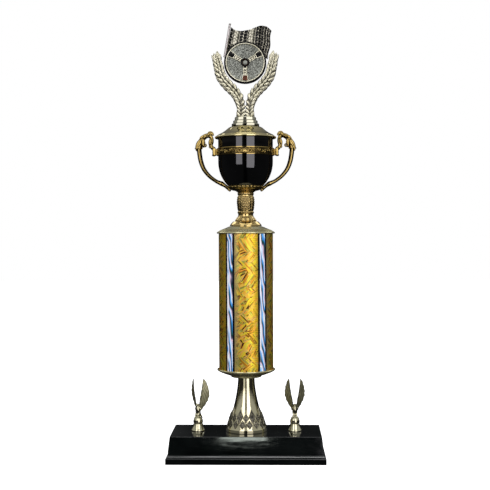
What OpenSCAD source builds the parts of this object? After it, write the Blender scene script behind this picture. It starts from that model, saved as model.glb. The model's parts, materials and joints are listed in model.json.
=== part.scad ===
// Column trophy: plinth, riser, film-covered column, two-handled cup, racing topper and two eagles.
// Millimetres, +Z up, origin in the middle of the plinth's underside.

/* [Base] */
// Length of the plinth
base_w = 203.2; // [190:0.1:240]
// Depth of the plinth
base_d = 95.3; // [90:0.1:130]
// Height of the plinth
base_h = 34.6; // [30:0.1:40]
// Height of the upright lip at the foot of the plinth
lip_h = 7; // [5:0.5:9]
// How far the plinth's top edge stands in from its lip
base_inset = 5.3; // [4.5:0.1:7]
// Wall of the moulded plinth shell
base_wall = 3; // [2.5:0.1:3.5]

/* [Riser and column] */
// Height of the turned riser
riser_h = 70.3; // [60:0.1:90]
// Radius of the riser's foot
riser_foot_r = 26.6; // [25:0.1:30]
// Radius of the riser's neck
riser_neck_r = 10.7; // [8:0.1:13]
// Height of the column tube
column_h = 177.9; // [120:0.1:260]
// Radius over the column's film
column_r = 35.25; // [34:0.05:37]
// Number of decorative stripes down the column
stripe_count = 5; // [3:1:8]
// Width of a stripe around the column, in degrees
stripe_angle = 22; // [14:1:30]
// Width of the bright middle of a stripe, in degrees
prism_angle = 13; // [8:1:20]
// Turn of the stripes from the front, in degrees
column_turn = 1.8; // [0:0.1:20]

/* [Cup] */
// Height of the stem
stem_h = 45.7; // [45:0.1:55]
// Radius of the bowl
bowl_r = 35.5; // [34:0.1:37]
// Height of the bowl
bowl_h = 64.2; // [60:0.1:75]
// Height of the relief band round the bowl
band_h = 9.6; // [7:0.1:12]
// Radius of the lid's rolled rim
lid_r = 39.9; // [38:0.1:43]
// Height of the lid
lid_h = 14.6; // [12:0.1:16]

/* [Topper] */
// Width of the topper's pedestal
pedestal_w = 35.8; // [34:0.1:38]
// Radius of the steering-wheel medallion
wheel_r = 27.4; // [25:0.05:28]
// Height of the medallion's middle above the pedestal
wheel_rise = 70.3; // [69:0.1:75]
// Thickness of the medallion
wheel_t = 5; // [4:0.1:7]

/* [Side eagles] */
// Distance of each eagle from the middle of the plinth
eagle_x = 63; // [55:0.5:75]
// Turn of the left eagle away from the front, in degrees
eagle_turn = 25; // [0:1:90]

/* [Hardware] */
// Radius of the rod that clamps the stack
rod_r = 3.175; // [2.5:0.005:3.2]
// Radius of the eagles' screws
screw_r = 2; // [1.5:0.05:2]

/* [Hidden] */
$fn = 96;
running = 0.05;        // radial clearance of a figure on its screw or rod
loose = 0.225;         // radial clearance of a fixed piece on the rod
turn_gap = 0.2;        // gap under a figure that can turn
rod_bottom = 15;
plate_t = 6;
washer_t = 1.5;
nut_h = 5.5;
nut_r = 6.4;
small_nut_r = 4;
small_nut_h = 3.2;
felt_t = 1;
cover_t = 2;
rim_wall = 3;
z_riser_top = base_h + riser_h;
cap_h = 9.5;           // height of the column's lower cap under the tube
upper_cap_h = 8.2;     // height of the upper cap above the tube
cap_rim_r = column_r + 2.65;
z_tube = z_riser_top + cap_h;
z_tube_top = z_tube + column_h;
z_stem = z_tube_top + upper_cap_h;
z_calyx = z_stem + stem_h;
calyx_floor = 4.5;     // height of the bowl's bottom above the calyx's underside
z_bowl = z_calyx + calyx_floor;
z_rim = z_bowl + bowl_h;
z_lid_top = z_rim + lid_h;
z_band = z_rim - 22.9;
z_pedestal = z_lid_top + turn_gap;
pedestal_h = 12.1;
z_topper = z_pedestal + pedestal_h;
z_wheel = z_topper + wheel_rise;
rod_top = z_pedestal + 10.3;
tube_r = column_r - 0.25;
tube_wall = 1.1;
stripe_t = 0.2;
bowl_wall = 1.2;
bowl_round_h = 40.5;   // height of the bowl's rounded part, taken to its imaginary pole
bowl_pole = 7;         // how far that pole lies below the bowl's flat bottom
z_eagle = base_h + turn_gap;
layer_front = -2;      // the plane where the medallion lies against the laurels

// One point of a smooth curve through four neighbours, at t from b to c
function between(a, b, c, d, t) =
    0.5 * (2 * b + (c - a) * t + (2 * a - 5 * b + 4 * c - d) * t * t
    + (3 * b - a - 3 * c + d) * t * t * t);

// A smooth curve through points p, with n steps between neighbours
function through(p, n) = concat(
    [for (i = [0:len(p) - 2], j = [0:n - 1])
        between(p[max(i - 1, 0)], p[i], p[i + 1], p[min(i + 2, len(p) - 1)], j / n)],
    [p[len(p) - 1]]);

function unit(v) = v / norm(v);
function backwards(list) = [for (i = [len(list) - 1:-1:0]) list[i]];

// Direction of a path at its point i
function heading(p, i) = unit([
    p[min(i + 1, len(p) - 1)][0] - p[max(i - 1, 0)][0],
    p[min(i + 1, len(p) - 1)][1] - p[max(i - 1, 0)][1]]);

// A solid turned about the vertical axis from [radius, height] points that run upward
module turned(points) {
    bottom = points[0][1];
    top = points[len(points) - 1][1];
    rotate_extrude() polygon(concat([[0, bottom]], points, [[0, top]]));
}

// A hole for the rod between two heights
module rod_hole(from, to, gap = loose) {
    translate([0, 0, from]) cylinder(r = rod_r + gap, h = to - from);
}

// A flat ring
module washer(r_out, r_in, h) {
    difference() {
        cylinder(r = r_out, h = h);
        translate([0, 0, -1]) cylinder(r = r_in, h = h + 2);
    }
}

// A hexagon nut with a round bore
module hex_nut(r_out, r_in, h) {
    difference() {
        cylinder(r = r_out, h = h, $fn = 6);
        translate([0, 0, -1]) cylinder(r = r_in, h = h + 2);
    }
}

// A sheet cut to an outline of [x, z] points, from depth y0 to y1
module sheet(outline, y0, y1) {
    translate([0, y1, 0]) rotate([90, 0, 0]) linear_extrude(y1 - y0) polygon(outline);
}

// A round bar along [x, z, radius] points in the XZ plane; depth stretches it across
module bar(path, depth = 1, sides = 12) {
    n = len(path);
    rings = [for (i = [0:n - 1], k = [0:sides - 1])
        let (d = heading(path, i), a = 360 * k / sides, r = path[i][2])
        [path[i][0] + r * cos(a) * d[1], r * depth * sin(a), path[i][1] - r * cos(a) * d[0]]];
    walls = [for (i = [0:n - 2], k = [0:sides - 1])
        [i * sides + k, (i + 1) * sides + k, (i + 1) * sides + (k + 1) % sides,
            i * sides + (k + 1) % sides]];
    first = [for (k = [0:sides - 1]) k];
    last = [for (k = [sides - 1:-1:0]) (n - 1) * sides + k];
    polyhedron(rings, concat(walls, [first, last]));
}

// ---- Plinth ----

// Inset and height of each edge of the plinth's side, from the floor up
plinth_side = [[0, 0], [0, lip_h], [0.9, lip_h + 0.9], [1.1, lip_h + 2.2],
    [2.1, lip_h + 3.4], [3, lip_h + 4.6], [3.1, lip_h + 9], [base_inset, base_h]];

// The plinth's outline seen along one side, for a given half width
function plinth_outline(half) = concat(
    [for (p = plinth_side) [half - p[0], p[1]]],
    [for (p = backwards(plinth_side)) [p[0] - half, p[1]]]);

module plinth_block() {
    intersection() {
        rotate([90, 0, 0])
            linear_extrude(base_d + 2, center = true) polygon(plinth_outline(base_w / 2));
        rotate([90, 0, 90])
            linear_extrude(base_w + 2, center = true) polygon(plinth_outline(base_d / 2));
    }
}

// A slab as wide as the recess under the plinth, less a margin
module recess_slab(margin, z, h) {
    translate([0, 0, z + h / 2])
        cube([base_w - 2 * margin, base_d - 2 * margin, h], center = true);
}

module base_shell() {
    side_wall = base_inset + base_wall;
    color("#131417") difference() {
        plinth_block();
        recess_slab(rim_wall, -1, 1 + felt_t + cover_t);
        recess_slab(side_wall, 0, base_h - base_wall);
        rod_hole(0, base_h + 1);
        for (side = [-1, 1])
            translate([side * eagle_x, 0, 0]) cylinder(r = screw_r + 0.25, h = base_h + 1);
    }
}

module base_cover() {
    color("#5a4030") recess_slab(rim_wall + 0.3, felt_t, cover_t);
}

module felt_pad() {
    color("#1e2420") recess_slab(rim_wall + 0.6, 0, felt_t);
}

module weight_plate() {
    color("#5c5f63") difference() {
        translate([-50, -35, base_h - base_wall - plate_t]) cube([100, 70, plate_t]);
        rod_hole(0, base_h);
    }
}

z_plate = base_h - base_wall - plate_t;

module base_washer() {
    color("#a9adb0") translate([0, 0, z_plate - washer_t])
        washer(9.5, rod_r + loose, washer_t);
}

module base_nut() {
    color("#a9adb0") translate([0, 0, z_plate - washer_t - nut_h])
        hex_nut(nut_r, rod_r + 0.03, nut_h);
}

module main_rod() {
    color("#a9adb0") translate([0, 0, rod_bottom]) cylinder(r = rod_r, h = rod_top - rod_bottom);
}

// ---- Riser and column ----

collar_top = 29.5;     // top of the riser's lattice collar above its foot
// The riser's side: an upright foot, a tapering collar, then a hollow curve up to the neck
riser_side = concat(
    [[riser_foot_r, 0], [riser_foot_r, 4.6], [25.5, 7.4], [24.5, 10.6], [22.5, 17.2],
        [20.6, 22.6], [19, 27], [17.1, collar_top]],
    [for (t = [0.1:0.1:1])
        [riser_neck_r + (17.1 - riser_neck_r) * pow(1 - t, 1.7),
            collar_top + t * (riser_h - collar_top)]]);

module riser() {
    wall = 1.8;
    inside = [for (p = riser_side) if (p[1] < riser_h - 4) [p[0] - wall, p[1] - 0.01]];
    color("#8f8459") translate([0, 0, base_h]) difference() {
        turned(riser_side);
        turned(inside);
        rod_hole(0, riser_h + 1);
    }
}

spigot_r = tube_r - tube_wall - 0.1;

// The column's lower cap: a shallow dish with a rim around the tube and a spigot inside it
module column_lower_cap() {
    rim_z = cap_h;
    side = [[19.9, 0], [19.9, 1.6], [25.7, 3.6], [32.6, 6.2], [cap_rim_r - 0.5, cap_h - 0.8],
        [cap_rim_r, cap_h + 0.4], [cap_rim_r - 0.5, cap_h + 1.2], [column_r + 0.3, cap_h + 1.2],
        [column_r + 0.3, rim_z], [spigot_r, rim_z], [spigot_r, cap_h + 5],
        [spigot_r - 1.5, cap_h + 5], [spigot_r - 1.5, cap_h - 0.8], [24, 5], [18, 3.2]];
    color("#958a5e") translate([0, 0, z_riser_top]) difference() {
        rotate_extrude() polygon(concat([[0, 0]], side, [[0, 3.2]]));
        rod_hole(-1, cap_h);
    }
}

module column_tube() {
    color("#c9c2ae") translate([0, 0, z_tube]) washer(tube_r, tube_r - tube_wall, column_h);
}

module column_film() {
    color("#b98f1d") translate([0, 0, z_tube]) washer(column_r, tube_r, column_h);
}

// Strips down the column, each so many degrees wide, between two radii
module strips(angle, r_in, r_out) {
    for (i = [0:stripe_count - 1])
        rotate([0, 0, -90 + column_turn + (i + 0.5) * 360 / stripe_count - angle / 2])
            translate([0, 0, z_tube + 1.3]) rotate_extrude(angle = angle)
                translate([r_in, 0]) square([r_out - r_in, column_h - 2.6]);
}

module stripe_tapes() {
    color("#17181b") strips(stripe_angle, column_r, column_r + stripe_t);
}

module stripe_prisms() {
    color("#b9c4cf") strips(prism_angle, column_r + stripe_t, column_r + 1.4 * stripe_t);
}

// The column's upper cap: the same rim turned over, under a low reeded cone
module column_upper_cap() {
    side = [[spigot_r - 1.5, -5.2], [spigot_r, -5.2], [spigot_r, 0], [column_r + 0.3, 0],
        [column_r + 0.3, -1.2], [cap_rim_r - 0.5, -1.2], [cap_rim_r, -0.2],
        [cap_rim_r - 0.5, 0.6], [32.9, 3.4], [26.2, 6], [23.4, 7.3], [20.5, upper_cap_h]];
    color("#958a5e") translate([0, 0, z_tube_top]) difference() {
        rotate_extrude() polygon(concat([[24, 4.4]], [[spigot_r - 1.5, 0.4]], side,
            [[0, upper_cap_h]], [[0, 5]]));
        rod_hole(0, upper_cap_h + 1);
    }
}

// ---- Cup ----

// The stem: a domed foot, a ring, a narrow neck, a leafy barrel and a flare
stem_side = [[20.5, 0], [20.5, 1.4], [19.5, 3], [17.1, 5.6], [13.1, 6.4], [13.1, 8],
    [11.1, 10.8], [9.9, 13.4], [9.8, 16], [10.3, 18.6], [10.1, 21.1], [10.7, 23.8],
    [11.1, 27], [11.4, 31.6], [11.6, 34.1], [11.2, 36.8], [10.2, 42.1], [10.4, 44.6],
    [13.1, stem_h]];

module cup_stem() {
    color("#a8822f") translate([0, 0, z_stem]) difference() {
        turned(stem_side);
        turned([[18.5, -0.01], [17.5, 2.5], [6, 5]]);
        rod_hole(-1, stem_h + 1);
    }
}

// Radius of the bowl's outside at a height above its flat bottom
function bowl_radius(z) =
    let (below = bowl_round_h - bowl_pole - z)
    below <= 0 ? bowl_r : bowl_r * sqrt(1 - pow(below / bowl_round_h, 2));

bowl_round = bowl_round_h - bowl_pole;
bowl_side = concat(
    [for (t = [0:0.1:1]) [bowl_radius(t * bowl_round), t * bowl_round]],
    [[bowl_r, bowl_h]]);

// The bowl's outer form; the quarter turn keeps its seam away from the handle screws
module bowl_block(extra = 0) {
    translate([0, 0, z_bowl]) rotate([0, 0, 90])
        turned([for (p = bowl_side) [p[0] + extra, p[1]]]);
}

calyx_side = [[13.1, 0], [17.7, 0.9], [22.7, 3.6], [23.5, 5.6]];

module calyx_block() {
    turned(concat(calyx_side, [[22.8, 6.6]]));
}

module cup_calyx() {
    color("#b08a3a") difference() {
        translate([0, 0, z_calyx]) calyx_block();
        bowl_block();
        rod_hole(z_calyx - 1, z_bowl + 1);
    }
}

module cup_bowl() {
    inside = [for (p = bowl_side) if (p[1] > 1)
        [p[0] - bowl_wall, p[1] < bowl_h ? p[1] : bowl_h + 1]];
    color("#0c0c0e") difference() {
        bowl_block();
        translate([0, 0, z_bowl]) rotate([0, 0, 90]) turned(concat([[19, 1.5]], inside));
        rod_hole(z_bowl - 1, z_bowl + 3);
        for (side = [-1, 1]) handle_screw_places(side) cylinder(r = 1.4, h = 5);
    }
}

module bowl_washer() {
    color("#a9adb0") translate([0, 0, z_bowl + 1.5]) washer(9.5, rod_r + loose, washer_t);
}

module bowl_nut() {
    color("#a9adb0") translate([0, 0, z_bowl + 1.5 + washer_t])
        hex_nut(nut_r, rod_r + 0.03, nut_h);
}

lug_x = 39;            // where a handle's lug meets the band's
lug_depth = 8;

module cup_band() {
    color("#b08a3a") difference() {
        union() {
            translate([0, 0, z_band]) cylinder(r = bowl_r + 1.1, h = band_h);
            translate([-lug_x, -lug_depth / 2, z_band]) cube([2 * lug_x, lug_depth, band_h]);
        }
        bowl_block();
        for (side = [-1, 1]) handle_screw_places(side) cylinder(r = 1.4, h = 8);
    }
}

// Where the four handle screws start inside the bowl wall, pointing outward
module handle_screw_places(side) {
    translate([side * (bowl_r - bowl_wall), 0, z_band + 5]) rotate([0, side * 90, 0]) children();
}

module handle_screws() {
    color("#a9adb0") for (side = [-1, 1]) handle_screw_places(side) {
        translate([0, 0, -1.8]) cylinder(r = 2.4, h = 1.7);
        translate([0, 0, -0.2]) cylinder(r = 1.15, h = 9);
    }
}

// A handle's run in [x, z above the stem's top, radius]: from the calyx out and up the arm,
// over the arch, then down the inner leg to the lug on the band
handle_run = [[22.4, 5.6, 2.4], [28, 8.7, 2.7], [34.7, 11.6, 3], [39.3, 13.9, 2.7],
    [47, 19.2, 2.6], [53.8, 27, 2.8], [57.5, 35.2, 3.1], [59.7, 45.2, 3.5], [60.6, 54.4, 4],
    [59.8, 61.4, 3.6], [56.6, 67.9, 3.1], [51.5, 72.4, 3], [46.5, 72.9, 3.2], [43.6, 68.4, 2.6],
    [44.3, 62.4, 2.5], [43, 56.9, 3], [41.8, 51.4, 2.8]];

module handle() {
    difference() {
        translate([0, 0, z_calyx]) union() {
            bar(through(handle_run, 2), depth = 1.1);
            translate([lug_x, -lug_depth / 2, 46.4]) cube([4, lug_depth, 9]);
        }
        bowl_block(0.05);
        translate([0, 0, z_calyx]) calyx_block();
        handle_screw_places(1) cylinder(r = 1.2, h = 9.2);
    }
}

module handle_right() {
    color("#b08a3a") handle();
}

module handle_left() {
    color("#b08a3a") mirror([1, 0, 0]) handle();
}

module lid() {
    side = [[lid_r - 0.5, -0.4], [lid_r, 0.4], [lid_r - 0.3, 1.5], [36.7, 3.9], [30.7, 6.5],
        [26.6, 9.1], [23.2, 11.7], [19.2, lid_h]];
    under = [[18.2, 11.4], [22, 9.8], [25.6, 7.3], [30, 4.4], [33, 2.6], [33, -3], [34.1, -3],
        [34.1, 0], [37.5, 0]];
    color("#9a8f63") translate([0, 0, z_rim]) difference() {
        rotate_extrude() polygon(concat([[0, 11.4]], under, side, [[0, lid_h]]));
        rod_hole(0, lid_h + 1);
    }
}

// ---- Topper ----

// One step of the pedestal: a square block with its corners cut off
module pedestal_step(half, z, h) {
    flat = 0.62 * half;
    translate([0, 0, z]) linear_extrude(h) polygon([
        [half, flat], [flat, half], [-flat, half], [-half, flat],
        [-half, -flat], [-flat, -half], [flat, -half], [half, -flat]]);
}

module topper_pedestal() {
    half = pedestal_w / 2;
    color("#9a8f63") translate([0, 0, z_pedestal]) difference() {
        union() {
            pedestal_step(half, 0, 4);
            pedestal_step(half - 1.9, 4, 4.4);
            pedestal_step(half - 4, 8.4, pedestal_h - 8.4);
        }
        translate([0, 0, -1]) cylinder(r = nut_r + 0.15, h = nut_h + 1.2, $fn = 6);
        rod_hole(-1, rod_top - z_pedestal + 0.5, running);
    }
}

module topper_nut() {
    color("#a9adb0") translate([0, 0, z_pedestal + 0.1]) hex_nut(nut_r, rod_r + running, nut_h);
}

// The middle of a laurel branch in [x, z above the pedestal, half width]
laurel_run = [[6.9, 0, 6.8], [6.4, 10, 5.6], [7.2, 18, 6], [10.2, 26, 6.6], [15, 33, 7.2],
    [21, 40, 7.6], [27.5, 46.5, 7.6], [32.2, 54, 7.2], [34.8, 62, 6.8], [36.6, 70, 6.2],
    [37.6, 78, 5], [37.2, 86.4, 0.7]];
laurel_steps = 3;

// One side of a branch's outline, notched where leaf tips stand out
function laurel_edge(side) =
    let (run = through(laurel_run, laurel_steps))
    [for (i = [0:len(run) - 1])
        let (d = heading(run, i), notch = i % 2 == 0 ? 1 : 0.86,
            x = run[i][0] + side * run[i][2] * notch * d[1])
        [max(x, 0.05), max(run[i][1] - side * run[i][2] * notch * d[0], 0)]];

module laurel() {
    translate([0, 0, z_topper])
        sheet(concat(laurel_edge(1), backwards(laurel_edge(-1))), layer_front, 2);
}

module laurel_right() {
    color("#9a8f63") laurel();
}

module laurel_left() {
    color("#9a8f63") mirror([1, 0, 0]) laurel();
}

// A disc standing on edge, from depth y0 to y1, centred on the medallion
module upright_disc(r, y0, y1) {
    translate([0, y1, z_wheel]) rotate([90, 0, 0]) cylinder(r = r, h = y1 - y0);
}

// The medallion: a rimmed disc with a steering wheel standing in its recess
module wheel_medallion() {
    front = layer_front - wheel_t;
    ground = front + 2.2;
    rim_in = wheel_r - 2.85;
    color("#a39a72") union() {
        difference() {
            upright_disc(wheel_r, front, layer_front);
            upright_disc(rim_in, front - 1, ground);
        }
        upright_disc(5.2, front + 0.4, ground + 0.5);
        for (a = [30, 150, 270]) translate([0, ground + 0.5, z_wheel]) rotate([0, -a, 0]) {
            translate([0, -1.5, -1.6]) cube([18, 1.5, 3.2]);
            translate([16.5, -2, -4.2]) cube([7, 2, 8.4]);
        }
    }
}

// The pole leans from the middle of its foot to its top, in [x, z above the medallion's middle]
pole_foot = [-26.6, 8];
pole_top = [-19.6, 51.6];
pole_r = 1.6;
pole_y = 0;

module pole(r) {
    lean = atan2(pole_top[0] - pole_foot[0], pole_top[1] - pole_foot[1]);
    translate([pole_foot[0], pole_y, z_wheel + pole_foot[1]]) rotate([0, lean, 0])
        cylinder(r = r, h = norm(pole_top - pole_foot));
}

module flag_pole() {
    color("#9a8f63") pole(pole_r);
}

// The cloth's top edge dips by the pole and rises again towards its free end
flag_top = [[-18.5, 46], [-12, 42.4], [-5, 40.4], [4, 42.6], [14.5, 46.2], [22, 47.8], [28, 45.4],
    [34.5, 40.4]];
flag_right = [[34.5, 40.4], [33.4, 28], [32, 16], [29.6, 7]];

module race_flag() {
    outline = concat([[-26, 12]], through(flag_top, 3), through(flag_right, 3), [[0, 5]]);
    color("#4b4836") difference() {
        translate([0, 0, z_wheel]) sheet(outline, layer_front, -0.4);
        pole(pole_r + 0.02);
    }
}

// ---- Side eagles ----

// An eagle's foot, dome, body and head, turned
eagle_side = [[9.2, 0], [9.2, 1.2], [8.2, 3.4], [6.8, 6.6], [6.2, 9.3], [5.5, 9.7], [6.2, 10.3],
    [6.2, 14], [5.4, 17], [3.6, 18.7], [3.1, 19.6], [4.4, 22], [4.7, 26], [3.9, 30], [2.9, 32],
    [3.2, 33.4], [2.4, 35], [0.6, 35.4]];
// The right wing's outline in [x, z above the foot]
wing_edge = [[3, 21.5], [7, 24], [10.4, 32], [12.3, 41], [12.4, 48], [11.2, 56], [7.7, 67],
    [6.6, 60], [5.6, 53], [4.2, 44], [3.4, 36], [2.6, 29]];

module eagle() {
    difference() {
        union() {
            turned(eagle_side);
            for (side = [0, 1]) mirror([side, 0, 0])
                sheet(through(concat(wing_edge, [wing_edge[0]]), 3), -1.6, 1.6);
        }
        translate([0, 0, -1]) cylinder(r = small_nut_r + 0.15, h = small_nut_h + 1.2, $fn = 6);
        translate([0, 0, -1]) cylinder(r = screw_r + running, h = 13);
    }
}

module eagle_left() {
    color("#a39868") translate([-eagle_x, 0, z_eagle]) rotate([0, 0, -eagle_turn]) eagle();
}

module eagle_right() {
    color("#a39868") translate([eagle_x, 0, z_eagle]) eagle();
}

module eagle_nut(side) {
    color("#a9adb0") translate([side * eagle_x, 0, z_eagle + 0.1])
        rotate([0, 0, side < 0 ? -eagle_turn : 0])
            hex_nut(small_nut_r, screw_r + running, small_nut_h);
}

module eagle_nut_left() {
    eagle_nut(-1);
}

module eagle_nut_right() {
    eagle_nut(1);
}

z_under = base_h - base_wall;

module eagle_washers() {
    color("#a9adb0") for (side = [-1, 1])
        translate([side * eagle_x, 0, z_under - 1]) washer(5, screw_r + 0.2, 1);
}

module eagle_screws() {
    color("#a9adb0") for (side = [-1, 1]) translate([side * eagle_x, 0, z_under - 1]) {
        translate([0, 0, -2.4]) cylinder(r = 3.6, h = 2.4);
        translate([0, 0, -1]) cylinder(r = screw_r, h = 15.5);
    }
}

base_shell();
base_cover();
felt_pad();
weight_plate();
base_washer();
base_nut();
main_rod();
riser();
column_lower_cap();
column_tube();
column_film();
stripe_tapes();
stripe_prisms();
column_upper_cap();
cup_stem();
cup_calyx();
cup_bowl();
cup_band();
handle_left();
handle_right();
handle_screws();
bowl_washer();
bowl_nut();
lid();
topper_pedestal();
topper_nut();
laurel_left();
laurel_right();
wheel_medallion();
race_flag();
flag_pole();
eagle_left();
eagle_right();
eagle_nut_left();
eagle_nut_right();
eagle_screws();
eagle_washers();
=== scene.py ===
import json
import random
from math import (atan2, cos, degrees, dist, hypot, pi, radians, sin, sqrt, tan,
                  tau as TAU)

import bmesh
import bpy
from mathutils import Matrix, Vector, noise


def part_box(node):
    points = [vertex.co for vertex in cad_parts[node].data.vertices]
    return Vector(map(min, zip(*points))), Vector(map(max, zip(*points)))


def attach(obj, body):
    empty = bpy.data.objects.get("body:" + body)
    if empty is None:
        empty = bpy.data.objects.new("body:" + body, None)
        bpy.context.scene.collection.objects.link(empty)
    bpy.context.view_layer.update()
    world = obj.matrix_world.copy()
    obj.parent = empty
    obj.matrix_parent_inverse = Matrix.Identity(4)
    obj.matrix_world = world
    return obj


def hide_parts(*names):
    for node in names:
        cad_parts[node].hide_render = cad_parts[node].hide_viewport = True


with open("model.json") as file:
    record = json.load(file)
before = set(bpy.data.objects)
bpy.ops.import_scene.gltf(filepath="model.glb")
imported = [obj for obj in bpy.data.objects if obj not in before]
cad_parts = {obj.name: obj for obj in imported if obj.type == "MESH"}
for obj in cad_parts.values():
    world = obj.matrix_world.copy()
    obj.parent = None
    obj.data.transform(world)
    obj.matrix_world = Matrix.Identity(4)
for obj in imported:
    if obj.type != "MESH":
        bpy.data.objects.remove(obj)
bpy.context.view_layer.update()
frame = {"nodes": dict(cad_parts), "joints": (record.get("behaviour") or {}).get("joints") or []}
scene = bpy.context.scene

MM = 0.001
ROD_R = 3.6          # clear hole that every piece on the rod has


def span(node):
    """Lowest and highest corner of a CAD node, in millimetres."""
    low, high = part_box(node)
    return Vector(low) / MM, Vector(high) / MM


def bottom(node):
    return span(node)[0].z


def top(node):
    return span(node)[1].z


# ---- Camera ----

CAMERA_AT = Vector((33, -1335, 290.6)) * MM
CAMERA_AIM = Vector((-1.1, 0, 276.2)) * MM
VIEW_WIDTH = 637 * MM          # how much of the object's own plane the picture takes in
CAMERA_ROLL = radians(-0.2)


def make_camera():
    data = bpy.data.cameras.new("camera")
    ahead = CAMERA_AIM - CAMERA_AT
    data.sensor_width = 36
    data.lens = data.sensor_width * ahead.length / VIEW_WIDTH
    camera = bpy.data.objects.new("camera", data)
    camera.location = CAMERA_AT
    turn = ahead.to_track_quat("-Z", "Y").to_matrix()
    roll = turn.Rotation(CAMERA_ROLL, 3, "Z")
    camera.rotation_euler = (turn @ roll).to_euler()
    scene.collection.objects.link(camera)
    scene.camera = camera


make_camera()


# ---- Curves and outlines ----

def spline(points, steps):
    """A smooth curve through points of any dimension, with so many steps between neighbours."""
    last = len(points) - 1
    out = []
    for i in range(last):
        corners = list(zip(points[max(i - 1, 0)], points[i], points[i + 1],
                           points[min(i + 2, last)]))
        for j in range(steps):
            t = j / steps
            out.append(tuple(
                0.5 * (2 * b + (c - a) * t + (2 * a - 5 * b + 4 * c - d) * t * t
                       + (3 * b - a - 3 * c + d) * t ** 3)
                for a, b, c, d in corners))
    out.append(tuple(points[-1]))
    return out


def fillet(points, radius, steps=4):
    """Rounds each corner of a closed outline."""
    out = []
    for i, corner in enumerate(points):
        here = Vector(corner)
        back = Vector(points[i - 1]) - here
        on = Vector(points[(i + 1) % len(points)]) - here
        if back.length < 1e-6 or on.length < 1e-6:
            continue
        if back.normalized().dot(on.normalized()) < -0.995:
            out.append(tuple(here))
            continue
        cut = min(radius, 0.45 * back.length, 0.45 * on.length)
        start = here + back.normalized() * cut
        end = here + on.normalized() * cut
        for j in range(steps + 1):
            t = j / steps
            out.append(tuple(start * (1 - t) ** 2 + here * 2 * t * (1 - t) + end * t * t))
    return out


def finer(points, step, closed=True):
    """Splits the sides of an outline that are longer than step."""
    out = []
    count = len(points)
    for i, p in enumerate(points):
        out.append(tuple(p))
        if not closed and i == count - 1:
            break
        q = points[(i + 1) % count]
        parts = int(dist(p, q) / step)
        for j in range(1, parts):
            out.append(tuple(a + (b - a) * j / parts for a, b in zip(p, q)))
    return out


def support(points, gap=0.3):
    """Adds a point near each end of an outline's long sides, which keeps their shading flat."""
    out = []
    for i, p in enumerate(points):
        q = points[(i + 1) % len(points)]
        out.append(tuple(p))
        length = dist(p, q)
        if length > 4 * gap:
            for t in (gap / length, 1 - gap / length):
                out.append(tuple(a + (b - a) * t for a, b in zip(p, q)))
    return out


def ramp(value, low, high):
    """0 at low, 1 at high, smooth between."""
    t = min(max((value - low) / (high - low), 0), 1)
    return t * t * (3 - 2 * t)


def bump(distance, reach):
    """A round bump of height 1 that fades out at its reach."""
    return max(0, 1 - (distance / reach) ** 2)


# ---- Meshes ----

def build(name, verts, faces, material, wash=None, sharp=38, spots=None, extra=()):
    """A smooth-shaded object from millimetre points. Each point carries a darkness, which darkens
    the recesses and on some pieces is painted shade.
    """
    mesh = bpy.data.meshes.new(name)
    mesh.from_pydata([(x * MM, y * MM, z * MM) for x, y, z in verts], [], faces)
    for used in (material, *extra):
        mesh.materials.append(used)
    if spots:
        mesh.polygons.foreach_set("material_index", spots)
    work = bmesh.new()
    work.from_mesh(mesh)
    bmesh.ops.recalc_face_normals(work, faces=work.faces)
    limit = radians(sharp)
    for edge in work.edges:
        edge.smooth = edge.calc_face_angle(0) < limit
    for face in work.faces:
        face.smooth = True
    work.to_mesh(mesh)
    work.free()
    layer = mesh.attributes.new("wash", "FLOAT", "POINT")
    layer.data.foreach_set("value", wash if wash else [0.0] * len(verts))
    obj = bpy.data.objects.new(name, mesh)
    scene.collection.objects.link(obj)
    return obj


def place(obj, body, slot, *nodes):
    """A finished piece rides on a body and stands for CAD nodes. slot is not used."""
    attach(obj, body)
    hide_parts(*nodes)
    return obj


def loft(rings, closed=False):
    """Faces between rings of equal length. Open lofts are capped at both ends."""
    size, count = len(rings[0]), len(rings)
    faces = []
    for i in range(count if closed else count - 1):
        a, b = i * size, (i + 1) % count * size
        for j in range(size):
            k = (j + 1) % size
            faces.append((a + j, a + k, b + k, b + j))
    if not closed:
        faces.append(tuple(range(size)))
        faces.append(tuple(reversed(range((count - 1) * size, count * size))))
    return [p for ring in rings for p in ring], faces


class Heap:
    """Collects several closed shells into one piece."""

    def __init__(self):
        self.verts, self.faces, self.wash, self.spots = [], [], [], []

    def add(self, verts, faces, wash=None, spot=0):
        start = len(self.verts)
        self.verts += [tuple(v) for v in verts]
        self.faces += [tuple(start + i for i in f) for f in faces]
        self.wash += wash if wash else [0.0] * len(verts)
        self.spots += [spot] * len(faces)

    def moved(self, change):
        """The same shells with each point changed."""
        out = Heap()
        out.verts = [change(v) for v in self.verts]
        out.faces, out.wash, out.spots = self.faces, self.wash, self.spots
        return out

    def place(self, name, body, slot, material, sharp=38, extra=()):
        """Builds the shells as one piece in a CAD node's place."""
        made = build(name, self.verts, self.faces, material, self.wash, sharp, self.spots, extra)
        return place(made, body, slot, name)


def turn_outline(outline, columns, relief=None):
    """A closed (radius, height) outline turned about the vertical axis.

    relief(turn, r, z) gives how far out a point stands, how far up it moves and how dark it is.
    turn is 0 at the front and grows towards the viewer's right."""
    rings, wash = [], []
    for c in range(columns):
        turn = TAU * c / columns
        ring = []
        for r, z in outline:
            out, up, dark = relief(turn, r, z) if relief else (0, 0, 0)
            ring.append(((r + out) * sin(turn), -(r + out) * cos(turn), z + up))
            wash.append(dark)
        rings.append(ring)
    return *loft(rings, closed=True), wash


def lathe(name, slot, outline, material, columns, relief=None, sharp=38):
    """A turned piece of the column or cup."""
    verts, faces, wash = turn_outline(support(outline), columns, relief)
    return place(build(name, verts, faces, material, wash, sharp), "root", slot, name)


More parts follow.
